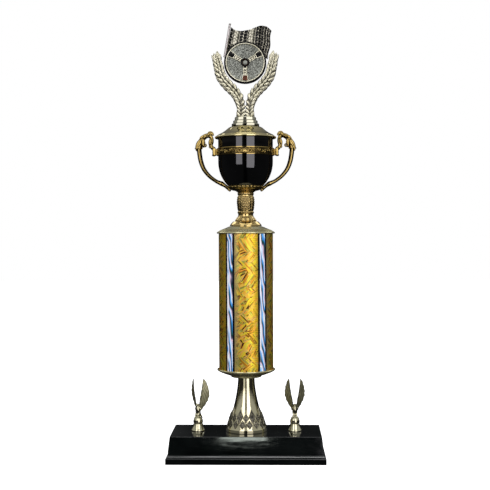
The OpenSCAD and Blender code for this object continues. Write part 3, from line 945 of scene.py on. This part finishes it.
def make_handles():
    """The right handle in positive x, then its mirror image."""
    heap = Heap()
    z0 = bottom("cup_calyx")

    def branch(rows, section, squash):
        path = spline([(x, z0 + z, radius) for x, z, radius in rows], 8)
        heap.add(*sweep(path, section, squash))

    branch([(20.8, 1.0, 1.7), (23.2, 4.0, 2.2), (27.2, 7.3, 2.4), (30.8, 9.6, 3.1),
            (33.8, 10.9, 2.7), (38.9, 13.4, 2.4), (47.3, 19.9, 2.55), (54.2, 28.8, 2.8),
            (58.0, 38.8, 3.05), (59.8, 49.2, 3.15), (60.4, 57.4, 3.1)], arm_section, 1.1)
    branch([(60.2, 55.4, 4.4), (59.2, 60.4, 4.5), (57.4, 65.6, 4.0), (54.2, 69.8, 3.7),
            (50.2, 72.0, 3.3), (46.4, 71.8, 2.9), (44.0, 68.4, 2.5), (43.6, 63.9, 2.3),
            (44.6, 59.8, 2.3), (43.2, 56.6, 2.4), (41.2, 54.4, 2.6)], leaf_section(6, 0.22), 1.15)
    heap.add(*curl((46.0, z0 + 73.6), 200, -1.15, 3.6, 1.75, 1.9))
    heap.add(*curl((52.6, z0 + 60.0), 60, -1.0, 2.6, 1.5, 1.9))
    heap.add(*curl((45.6, z0 + 58.2), 120, 1.1, 2.2, 1.35, 2.0))
    for x, depth, z, angle, length, width in (
            (57.5, 4.4, 67.4, -62, 14.5, 6.0), (60.5, 4.2, 64.4, -74, 12.5, 5.0),
            (54.6, 4.6, 68.0, -88, 11.0, 4.6), (50.5, 3.6, 71.9, -20, 9.5, 4.4),
            (50.0, 3.6, 72.4, 160, 8.0, 3.8), (45.2, 3.2, 68.4, -80, 10.0, 3.8)):
        set_both(heap, leaf_shell(length, width, 1.5, 1), x, depth, z0 + z, angle)
    for angle, reach in ((-58, 4.2), (-98, 3.8)):
        set_leaf(heap, leaf_shell(10.5, 4.6, 1.4, 1), (62.0 - 0.4 * reach, 0, z0 + 63.9),
                 radians(angle), 0.1, pi / 2)
    lug = []
    for x, hy, z_low, z_high in ((39.0, 3.8, 46.0, 56.0), (40.2, 4.2, 45.6, 56.6),
                                 (41.8, 4.2, 45.6, 56.4), (42.8, 3.7, 46.4, 55.6)):
        mid, half = z0 + (z_low + z_high) / 2, (z_high - z_low) / 2
        lug.append([(x, y, mid + z) for y, z, _ in box_ring(hy, half, 0, 1.2, 3)])
    heap.add(*loft(lug))
    heap.add(*ball((41.4, 0, z0 + 55.8), (2.6, 4.6, 2.0)))
    heap.add(*ball((41.2, 0, z0 + 46.8), (2.4, 4.4, 1.6)))
    heap.add(*sweep([(22.0, z0 + 0.1, 0.8), (21.6, z0 + 0.6, 2.0), (20.6, z0 + 1.8, 2.1),
                     (20.2, z0 + 2.4, 1.2)], plain_section, 1.4))
    place_pair(heap, "handle", "root", "warm_gold", WARM, 50)


def make_lid():
    z0, z1 = top("cup_bowl"), top("lid")
    side = [(ROD_R, z1), (ROD_R, z0 + 11.4), (18.2, z0 + 11.4), (22, z0 + 9.8), (25.6, z0 + 7.3),
            (30, z0 + 4.4), (33, z0 + 2.8), (33, z0 - 3), (34.1, z0 - 3), (34.1, z0), (38.6, z0),
            (38.9, z0 - 0.5), (39.6, z0 - 0.3), (39.9, z0 + 0.5), (39.7, z0 + 1.4),
            (38.9, z0 + 1.9), (37.9, z0 + 2.5), (36.4, z0 + 3.9), (30.7, z0 + 6.6),
            (26.6, z0 + 9.4), (23.2, z0 + 12.3), (21.2, z0 + 13.8), (19.2, z1)]
    lathe("lid", "champagne_gold", fillet(side, 0.9, 5), LID_GOLD, 192, sharp=50)


# ---- Topper ----

def cut_square(half, z, flat=0.66, bow=0.115):
    """A square ring with bowed sides and cut corners."""
    out = []
    for quarter in range(4):
        a = pi / 2 * quarter
        side = []
        for i in range(13):
            v = flat * half * (i / 6 - 1)
            side.append((half - bow * half * (v / (flat * half)) ** 2, v))
        edge = half * (1 - bow)
        side += [(edge - 0.2, flat * half + 0.2), (flat * half + 0.2, edge - 0.2)]
        out += [(x * cos(a) - y * sin(a), x * sin(a) + y * cos(a), z)
                for x, y in side]
    return out


def make_pedestal():
    z0 = bottom("topper_pedestal")
    steps = [(17.3, 0), (17.8, 0.3), (17.9, 0.6), (17.9, 2.9), (17.8, 3.2), (17.4, 3.4),
             (16.4, 3.6), (16.0, 3.9), (15.9, 4.3), (15.9, 6.9), (15.8, 7.2), (15.4, 7.5),
             (14.4, 7.7), (14.0, 8.0), (13.9, 8.4), (13.9, 11.2), (13.8, 11.5), (13.3, 12.05)]
    rings = [cut_square(half, z0 + z) for half, z in steps]
    verts, faces = loft(rings)
    dark = {0.3: 0.6, 3.2: 0.5, 3.4: 1.0, 3.6: 1.0, 3.9: 0.7, 7.2: 0.5, 7.5: 1.0, 7.7: 1.0,
            8.0: 0.7}          # by height: painted shade under each step
    wash = [dark.get(z, 0.0) for _, z in steps for _ in rings[0]]
    pedestal = build("topper_pedestal", verts, faces, PEDESTAL_GOLD, wash, sharp=24)
    place(pedestal, "topper", "champagne_gold", "topper_pedestal")


def branch_at(run, t):
    """Place and half width of the branch, t of the way along it, and its direction there."""
    spot = t * (len(run) - 1)
    i = min(int(spot), len(run) - 2)
    f = spot - i
    here = [a + (b - a) * f for a, b in zip(run[i], run[i + 1])]
    angle = atan2(run[i + 1][1] - run[i][1], run[i + 1][0] - run[i][0])
    return here, angle


def make_laurels():
    """The right branch in positive x, then its mirror image: rows of leaves on a flat core."""
    z0 = bottom("laurel_right")
    run = spline([(6.4, 0, 6.7), (6.0, 6, 6.2), (6.1, 12, 5.9), (7.2, 19, 6.9), (10.2, 26.5, 7.1),
                  (15.2, 33.6, 7.3), (21.4, 40.4, 7.5), (27.3, 47, 7.4), (31.3, 54, 7.1),
                  (33.6, 61.5, 6.8), (35.4, 68.5, 6.0), (36.6, 74, 4.6), (37.2, 78, 3.2)], 6)
    heap = Heap()
    core = [(x, z0 + z, 0.86 * half) for x, z, half in run]
    verts, faces, _ = sweep(core, plain_section, 0.25)
    heap.add(verts, faces, [0.75] * len(verts))
    random.seed(7)
    length = sum(dist(a[:2], b[:2]) for a, b in zip(run, run[1:]))

    def row(shift, lean, long, wide, depth, pace, start, end=0.975):
        """Leaves along the branch, shifted by a share of its half width to the outer side."""
        count = int(length * (end - start) / pace)
        for k in range(count + 1):
            t = start + (end - start) * k / count
            (x, z, half), angle = branch_at(run, t)
            nx, nz = sin(angle), -cos(angle)
            off = shift * half
            grow = (half / 7.2) ** 0.5 * random.uniform(0.96, 1.06)
            shell = leaf_shell(long * grow, wide * grow, 1.5)
            for facing in (-1, 1):
                set_leaf(heap, shell, (x + nx * off, facing * depth, z0 + z + nz * off),
                         angle - lean + random.uniform(-0.03, 0.03), 0.2, 0.0, facing)

    row(0.02, 0.66, 9.0, 4.3, 2.3, 5.0, 0.0, 0.27)
    row(-0.06, -0.78, 9.6, 4.3, 2.3, 5.0, 0.0, 0.27)
    row(0.62, 0.12, 9.4, 3.4, 1.5, 5.4, 0.2)
    row(0.14, 0.42, 9.6, 4.5, 2.4, 5.4, 0.25)
    row(-0.42, -0.36, 9.6, 4.5, 2.3, 5.4, 0.275)
    row(-0.1, 0.0, 8.8, 3.7, 3.1, 5.4, 0.26)
    for x, z, angle, size in ((36.4, 75.6, 91, 10.4), (38.4, 72.6, 58, 9.4),
                              (33.2, 72.6, 97, 8.8)):
        set_both(heap, leaf_shell(size, 4.1, 1.6), x, 2.8, z0 + z, angle)
    place_pair(heap, "laurel", "topper", "champagne_gold", LAUREL_GOLD, 40)


def on_edge(verts, centre_z):
    """Turned shapes stood up: their axis points to the front, their height becomes depth."""
    return [(x, -z, centre_z - y) for x, y, z in verts]


def bar_between(a, b, half_width, y_back, y_front, cz, taper=1.0):
    """A flat bar with softened edges in the medallion's face from a to b, each (x, z)."""
    start, end = Vector(a), Vector(b)
    along = (end - start).normalized()
    side = Vector((-along.y, along.x))
    rings = []
    for t, shrink in ((0, 0.6), (0.04, 1), (0.96, 1), (1, 0.6)):
        mid = start.lerp(end, t)
        half = half_width * (1 + (taper - 1) * t) * shrink
        ring = []
        for s, y in ((-1, y_back), (-1, y_front + 0.35), (-0.75, y_front), (0.75, y_front),
                     (1, y_front + 0.35), (1, y_back)):
            p = mid + side * half * s
            ring.append((p.x, y, cz + p.y))
        rings.append(ring)
    return loft(rings)


def make_medallion():
    low, high = span("wheel_medallion")
    cz = (low.z + high.z) / 2
    back, front = -high.y, -low.y
    radius = high.x
    ground = front - 2.3
    inner = radius - 3.5
    heap = Heap()

    def turned(outline, columns, spot=0, relief=None):
        verts, faces, wash = turn_outline(outline, columns, relief)
        heap.add(on_edge(verts, cz), faces, wash, spot)

    lip = [(radius - 3, back), (radius - 0.5, back), (radius, back + 0.5), (radius, front - 1.8),
           (radius - 0.3, front - 1.5), (radius - 0.7, front - 1.7), (radius - 3, front - 1.8)]
    turned(support(fillet(lip, 0.2, 3)), 160)
    groove = [(2.6, 1.9), (0.1, 1.9), (0.05, 1.2), (0.6, 0.5), (1.9, 0.5), (2.6, 1.2)]
    turned(fillet([(radius - a, front - b) for a, b in groove], 0.2, 3), 160, 2)
    ring = [(inner - 0.3, ground - 0.3), (radius - 2.2, ground - 0.2), (radius - 2.2, front - 0.7),
            (radius - 2.4, front - 0.2), (radius - 2.9, front - 0.05), (radius - 3.4, front - 0.3),
            (inner - 0.3, front - 1.3)]
    turned(support(fillet(ring, 0.25, 3)), 160, 4)
    plate = [(0.4, back + 0.1)] + [(r, back + 0.1) for r in (8, 16, radius - 3.2)]
    plate += [(r, ground) for r in [inner + 0.2 - 0.45 * i for i in range(52)] if r > 0.4]

    def pebbles(turn, r, z):
        if z < ground - 0.1 or r > inner:
            return 0, 0, 0
        spot = Vector((r * sin(turn), r * cos(turn), 0.3))
        grain = 1.4 * noise.noise(spot * 0.8) + 0.7 * noise.noise(spot * 1.9)
        return 0, 0.4 * grain, 1.2 * max(0, -grain)

    turned(plate, 320, 1, pebbles)
    hub = [(4.2, ground - 0.1), (5.6, ground - 0.1), (5.6, front - 0.7), (5.2, front - 0.1),
           (4.6, front - 0.1), (4.2, front - 0.7)]
    turned(fillet(hub, 0.3, 3), 64, 2)
    cup = [(3.2, ground - 0.1), (4.2, ground - 0.1), (4.2, front - 0.5), (3.2, front - 1.5)]
    turned(support(cup), 64, 3)
    dome = [(0.3, ground), (3.3, ground)]
    dome += [(3.3 * cos(radians(a)), ground + 0.5 + 1.3 * sin(radians(a)))
             for a in range(0, 86, 12)]
    turned(dome, 48, 1)
    y_ground, y_face = -ground, -(front - 0.7)
    for a in (30, 150, 270):
        ca, sa = cos(radians(a)), sin(radians(a))
        low_spoke = a == 270

        def bar(start, end, half_width, behind, spot, taper=1.0):
            """A bar whose ends are (along the spoke, aside) and whose face is behind y_face."""
            ends = [(r * ca - aside * sa, r * sa + aside * ca) for r, aside in (start, end)]
            heap.add(*bar_between(*ends, half_width, y_ground, y_face + behind, cz, taper),
                     spot=spot)

        bar((5.4, 0), (16.6, 0), 2.3, 0.9, 2)
        for aside in (-1.9, 1.9):
            bar((5.4, aside), (16.6, aside * 1.1), 0.42, 0, 4)
        for along in (8.0, 11.8, 14.6) if low_spoke else (7.4, 10.6, 13.8):
            bar((along - 1.0, 0), (along + 1.0, 0), 1.15, 0.3, 4)
        bar((16.6, 0), (23.3, 0), 2.4, 0, 3 if low_spoke else 2, 1.42)
        for aside in (-1, 1):
            bar((16.2, aside * 2.8), (23.6, aside * 3.95), 0.4, -0.3, 4)
        bar((15.9, 0), (16.6, 0), 2.9, -0.3, 4)
    heap.place("wheel_medallion", "topper", "medallion_gold", TOPPER_GOLD, 45,
               (PEBBLE, BLACK_PAINT_AND_SHADE, COPPERY, LAUREL_GOLD))


POLE_FOOT = (-26.6, 8.0)          # from the medallion's middle, in x and z
POLE_TOP = (-19.6, 51.9)


def make_flag():
    """A waved gold sheet of sunken squares between thin raised lines. Its gold and black chequer
    is all gold near the wave crests, a painted highlight, and all black elsewhere, painted shade.
    """
    low, high = span("wheel_medallion")
    cz = (low.z + high.z) / 2
    top_edge = spline([(-18.3, 46.6), (-14, 43.8), (-9, 42.2), (-3.6, 41.6), (3, 42.9), (9, 44.8),
                       (15, 46.8), (20, 48.2), (24, 48.5), (28, 47.2), (31.5, 44.4),
                       (34.3, 41.4)], 5)
    columns, rows, fine = 13, 11, 6          # squares across and down, and faces across each
    wide, tall = columns * fine, rows * fine
    drop = 46.0
    crests = (0.155, 0.46)          # where the waves face the light

    def spot(u, v):
        """A point of the sheet: u from the pole to the free edge, v from the top down."""
        reach = u * (len(top_edge) - 1)
        i = min(int(reach), len(top_edge) - 2)
        f = reach - i
        x, z = (a + (b - a) * f for a, b in zip(top_edge[i], top_edge[i + 1]))
        shift = -8.4 * v * (1 - u) - (4.6 * v + 0.8 * sin(9 * v)) * u
        wave = 1.5 * sin(TAU * (u - 0.055) / 0.305)
        y = 0.5 + wave * (1 - ramp(u, 0.75, 1.0)) - 1.2 * ramp(u, 0.9, 1.0)
        return x + shift, y, z - drop * v * (0.8 + 0.2 * (1 - u))

    front, back, wash, spots, faces = [], [], [], [], []
    for j in range(tall + 1):
        for i in range(wide + 1):
            u, v = i / wide, j / tall
            x, y, z = spot(u, v)
            z = max(z, 3.0 - 5 * abs(u - 0.5))
            column, row = i / fine, (j / fine + 0.5 * (i // fine % 2))
            inside = min(column % 1, 1 - column % 1, row % 1, 1 - row % 1)
            dark = (int(column) + int(row)) % 2 == 0
            lit = max(bump(u - crest, 0.058) for crest in crests)
            sunk = 0.0 if inside < 0.08 else (0.6 if dark else 0.25)
            front.append((x, y - 0.75 + sunk, cz + z))
            back.append((x, y + 0.75, cz + z))
            # Painted shade: the raised lines darken at the wave crests, and the squares darken
            # away from them.
            wash.append(0.1 + 0.75 * ramp(lit, 0.2, 0.6) if inside < 0.08 else 0.97 * (1 - lit))
    count = len(front)
    row_size = wide + 1
    for j in range(tall):
        for i in range(wide):
            a = j * row_size + i
            faces.append((a, a + 1, a + row_size + 1, a + row_size))
            row = (j + 0.5) / fine + 0.5 * (i // fine % 2)
            edge_cell = i % fine == 0 or row % 1 < 0.1
            lit = max(bump((i + 0.5) / wide - crest, 0.058) for crest in crests)
            # Painted light: squares near the crests take the gold and all others the black paint.
            spots.append(0 if edge_cell or lit > 0.35 else 1)
            b = count + a
            faces.append((b + row_size, b + row_size + 1, b + 1, b))
            spots.append(0)
    border = list(range(row_size))
    border += [j * row_size + wide for j in range(1, tall + 1)]
    border += [tall * row_size + i for i in reversed(range(wide))]
    border += [j * row_size for j in reversed(range(1, tall))]
    for a, b in zip(border, border[1:] + border[:1]):
        faces.append((a, a + count, b + count, b))
        spots.append(0)
    flag = build("race_flag", front + back, faces, FLAG_GOLD, wash + [0.4] * count, 50, spots,
                 (BLACK_PAINT_AND_SHADE,))
    place(flag, "topper", "flag_gold", "race_flag")

    path = [(POLE_FOOT[0] + (POLE_TOP[0] - POLE_FOOT[0]) * t, 0.2,
             cz + POLE_FOOT[1] + (POLE_TOP[1] - POLE_FOOT[1]) * t)
            for t in [i / 12 for i in range(13)]]
    radii = [1.75 - 0.35 * i / 12 for i in range(12)] + [0.8]
    pole = Heap()
    pole.add(*tube(path, radii, 20))
    pole.add(*ball((path[-1][0] - 0.1, 0.2, path[-1][2] - 1.2), (1.6, 1.6, 1.2)))
    pole.place("flag_pole", "topper", "champagne_gold", POLE_METAL)


# ---- Side eagles ----

WING = [(0, 0.3, 2.6), (4.0, 1.0, 5.6), (9.8, 2.2, 9.2), (15.5, 3.0, 11.8), (21.0, 4.2, 13.1),
        (26.3, 5.1, 13.0), (31.6, 5.9, 12.1), (37, 6.5, 10.5), (40.5, 6.9, 8.9), (42.0, 7.2, 7.7)]
SWEPT = tan(radians(40))          # how far the wings lean back, by distance from the axis


def wing(side, z0):
    """A raised wing of long feathers, swept back: (height, inner x, outer x) slices."""
    rings, wash = [], []
    slices = spline(WING, 7)
    across = 18
    for h, inner, outer in slices:
        t = h / WING[-1][0]
        wide = max(outer - inner, 0.25)
        ring = []
        for face in (0, 1):
            for k in range(across + 1):
                u = k / across if face == 0 else 1 - k / across
                quill = (u * 3.2 + 6.5 * t) % 1
                groove = ramp(1 - abs(2 * quill - 1), 0.05, 0.45)
                body = 1.15 * (1 - t) ** 0.5 + 0.45
                thick = body * sqrt(max(0.02, 4 * u * (1 - u))) * 0.9
                rise = 0.4 * groove * min(1, wide / 3)
                edge = 0.3 * sin(TAU * 7 * t) * ramp(u, 0.75, 1.0) * min(1, wide / 4)
                x = inner + wide * u + edge
                y = wide * u * SWEPT - 1.4 * sin(pi * t) + 1.2 * t
                y += -(thick + rise) / 2 if face == 0 else (thick + rise) / 2
                ring.append((side * x, y, z0 + h))
                barb = 1.0 if u < 0.2 and sin(34 * t) > -0.2 and t > 0.12 else 0.0
                wash.append(max(0.75 * (1 - groove), barb))
        rings.append(ring)
    return *loft(rings), wash


def eagle_shells(z0):
    """One eagle facing the front, its foot at z0 on the axis."""
    heap = Heap()
    foot = [(2.2, 0), (8.9, 0), (9.2, 0.4), (9.0, 1.3), (8.2, 2.6), (7.2, 5.0), (6.5, 7.4),
            (6.25, 9.0), (5.6, 9.35), (5.5, 9.75), (6.2, 10.1), (6.35, 11.6), (6.1, 13.8),
            (5.3, 16.2), (4.0, 18.0), (2.9, 18.8), (2.2, 18.9)]
    outline = finer(fillet([(r, z0 + z) for r, z in foot], 0.4, 3), 1.2)

    def neck(turn, r, z):
        return 0, 0, 0.95 if 9.2 < z - z0 < 9.95 and r < 6.3 else 0

    heap.add(*turn_outline(outline, 72, neck))
    body = spline([(0.2, 18.2, 2.5), (0.3, 20.5, 3.0), (0.0, 23.5, 3.5), (-0.2, 27, 3.6),
                   (-0.5, 30, 2.9), (-0.8, 32, 2.3), (-1.0, 33.6, 2.3), (-1.3, 34.9, 1.5)], 5)
    rings, wash = [], []
    for y, h, r in body:
        ring = []
        for k in range(28):
            a = TAU * k / 28
            scale = 0.5 + 0.5 * cos(9 * a + (h * 2.3 // 1) * pi)
            out = r * (1 + 0.05 * scale)
            ring.append((0.92 * out * sin(a), y - out * cos(a), z0 + h))
            wash.append(0.45 * (1 - scale) if h < 31 else 0.1)
        rings.append(ring)
    heap.add(*loft(rings), wash)
    beak = [(0, -2.6, z0 + 33.6), (0, -3.9, z0 + 33.5), (0, -4.7, z0 + 32.8), (0, -4.9, z0 + 31.9)]
    heap.add(*tube(beak, [1.15, 0.95, 0.6, 0.15], 10))
    for side in (-1, 1):
        heap.add(*ball((side * 1.35, -2.35, z0 + 34.0), (0.35, 0.35, 0.35), 6, 10))
        heap.add(*wing(side, z0 + 25.3), spot=1)
        shoulder = [(side * 1.6, 0.2, z0 + 29.5), (side * 3.0, 0.4, z0 + 28.4),
                    (side * 3.9, 1.0, z0 + 27.0)]
        heap.add(*tube(shoulder, [1.9, 1.8, 1.2]))
        leg = [(side * 1.7, -1.2, z0 + 23), (side * 2.0, -2.6, z0 + 20.8),
               (side * 1.7, -2.9, z0 + 19)]
        heap.add(*tube(leg, [1.5, 1.1, 0.8], 10))
        for claw in (-1, 0, 1):
            toe = [(side * 1.7, -2.8, z0 + 19.3), (side * 1.7 + 0.8 * claw, -3.9, z0 + 19.0),
                   (side * 1.7 + 1.2 * claw, -4.4, z0 + 18.0)]
            heap.add(*tube(toe, [0.6, 0.5, 0.2], 8))
    heap.add(*ball((0, -2.9, z0 + 20.6), (1.7, 1.7, 1.7)))
    tail = []
    for h, half, y, thick in ((24, 1.6, 2.4, 1.2), (21, 2.4, 3.6, 1.1), (18, 3.2, 5.0, 1.0),
                              (15.6, 3.6, 6.2, 0.6)):
        tail.append([(half * s, y + thick * d / 2, z0 + h) for s, d in (
            (-1, -0.4), (-0.66, -1), (-0.33, -0.6), (0, -1), (0.33, -0.6), (0.66, -1), (1, -0.4),
            (1, 0.4), (0.66, 1), (0.33, 0.6), (0, 1), (-0.33, 0.6), (-0.66, 1), (-1, 0.4))])
    heap.add(*loft(tail))
    return heap


LEFT_EAGLE_TURN = radians(-25)          # outward, as the photo shows it


def make_eagles():
    for name, body in (("eagle_left", "left_eagle"), ("eagle_right", "right_eagle")):
        low, high = span(name)
        shells = eagle_shells(low.z)
        joint = next(j for j in frame["joints"] if j["child"] == body)
        x0 = joint["pos_m"][0] / MM
        angle = LEFT_EAGLE_TURN if x0 < 0 else 0.0
        ca, sa = cos(angle), sin(angle)
        turned = shells.moved(lambda v: (x0 + v[0] * ca - v[1] * sa, v[0] * sa + v[1] * ca, v[2]))
        turned.place(name, body, "champagne_gold", EAGLE_GOLD, 45, (FEATHER_GOLD,))


# ---- Hidden hardware keeps its CAD shape ----

HARDWARE = {
    STEEL: ["base_washer", "base_nut", "main_rod", "bowl_washer", "bowl_nut", "handle_screws",
            "topper_nut", "eagle_nut_left", "eagle_nut_right", "eagle_screws", "eagle_washers"],
    CAST: ["weight_plate"],
    BOARD: ["column_tube"],
    HARDBOARD: ["base_cover"],
    FELT: ["felt_pad"],
}


def finish_hardware():
    for material, names in HARDWARE.items():
        for name in names:
            for used in frame["nodes"][name].material_slots:
                used.material = material


# ---- Studio ----

def make_floor():
    nodes = start_material("pale_floor", Roughness=0.7, Emission_Strength=0.93)
    tone = nodes.blend(nodes.noise(3, 3), (0.95, 0.95, 0.95), (0.92, 0.92, 0.92))
    nodes.surface(Base_Color=tone, Emission_Color=tone)
    mesh = bpy.data.meshes.new("floor")
    mesh.from_pydata([(-3, -0.45, 0), (3, -0.45, 0), (3, 5, 0), (-3, 5, 0)], [], [(0, 1, 2, 3)])
    mesh.materials.append(nodes.material)
    floor = bpy.data.objects.new("floor", mesh)
    scene.collection.objects.link(floor)
    floor.visible_glossy = False
    floor.visible_diffuse = False


def make_world():
    """Pale to the camera. To the pieces a dim room, darkest low in front of them and behind."""
    world = bpy.data.worlds.new("studio")
    world.use_nodes = True
    nodes = Nodes(world.node_tree)
    where = nodes.add("ShaderNodeTexCoord", output="Generated")
    x = nodes.add("ShaderNodeSeparateXYZ", {"Vector": where}, "X")
    y, z = x.other("Y"), x.other("Z")
    behind = y.between(1.0, 0.36, 0.2, 0.8)
    aside = x.maths("ABSOLUTE").between(0.1, 1.0, 0.07, 0.18)
    aside = aside.maths("MAXIMUM", z.between(0.0, 1.0, 0.3, 0.55))
    glow = behind * aside * z.between(0.03, 0.52, 0.085, 0.20)
    seen = nodes.add("ShaderNodeLightPath", output="Is Camera Ray")
    dim = nodes.add("ShaderNodeBackground", {"Color": (0.96, 0.98, 1, 1), "Strength": glow})
    pale = nodes.add("ShaderNodeBackground", {"Color": (1, 1, 1, 1), "Strength": 1.0})
    mixed = nodes.add("ShaderNodeMixShader", {0: seen, 1: dim, 2: pale})
    nodes.end("ShaderNodeOutputWorld", mixed)
    scene.world = world
    scene.view_settings.view_transform = "Standard"


def area_light(name, width, tall, glow, colour=(1, 1, 1)):
    data = bpy.data.lights.new(name, "AREA")
    data.shape = "RECTANGLE"
    data.size, data.size_y = width, tall
    data.energy = glow * pi * width * tall
    data.color = colour
    lamp = bpy.data.objects.new(name, data)
    scene.collection.objects.link(lamp)
    return lamp


def softbox(name, azimuth, distance, width, low, high, glow, colour=(1, 1, 1)):
    """A tall light panel round the trophy. azimuth is 0 at the camera, growing to its right."""
    a = radians(azimuth)
    lamp = area_light(name, width, high - low, glow, colour)
    lamp.location = (distance * sin(a), -distance * cos(a), (low + high) / 2)
    aim = Vector((0, 0, (low + high) / 2)) - Vector(lamp.location)
    lamp.rotation_euler = aim.to_track_quat("-Z", "Y").to_euler()
    return lamp


def only(lamp, piece):
    """Lets a small card light one piece alone."""
    lit = bpy.data.collections.new(lamp.name + "_lights")
    lit.objects.link(piece)
    lamp.light_linking.receiver_collection = lit


def make_lights(plinth, riser, lower_cap, foil):
    cool = (0.97, 0.94, 1.0)
    softbox("left_softbox", -25.2, 1.12, 0.50, 0.205, 1.3, 2.1, cool)
    softbox("right_softbox", 22.3, 1.6, 0.92, -0.20, 1.6, 2.4, cool)
    for name, azimuth in (("back_left", -140), ("back_right", 140)):
        softbox(name, azimuth, 1.9, 0.8, 1.2, 2.1, 2.0)
    only(softbox("low_card", -1.6, 1.5, 0.12, 0.06, 0.12, 14.0, (0.9, 1.0, 0.9)), plinth)
    only(softbox("edge_card", 0, 0.6, 1.3, 1.2, 1.45, 10.0), plinth)
    only(softbox("foil_card", 0, 1.6, 1.4, -0.2, 0.9, 3.0), foil)
    only(softbox("riser_card", -25.2, 1.12, 0.5, -0.35, 0.22, 0.9), riser)
    area_light("overhead", 1.5, 1.0, 1.8).location = (0, -0.1, 1.9)
    under = area_light("under_card", 0.2, 0.06, 0.4)
    under.location = (0, -0.088, 0.002)
    under.rotation_euler = (pi, 0, 0)
    under.visible_camera = False
    only(under, lower_cap)


plinth = make_plinth()
riser = make_riser()
lower_cap = make_lower_cap()
make_upper_cap()
make_film()
foil = make_stripes()
for make in (make_stem, make_calyx, make_bowl, make_band, make_handles, make_lid, make_pedestal,
             make_laurels, make_medallion, make_flag, make_eagles, finish_hardware, make_floor,
             make_world):
    make()
make_lights(plinth, riser, lower_cap, foil)
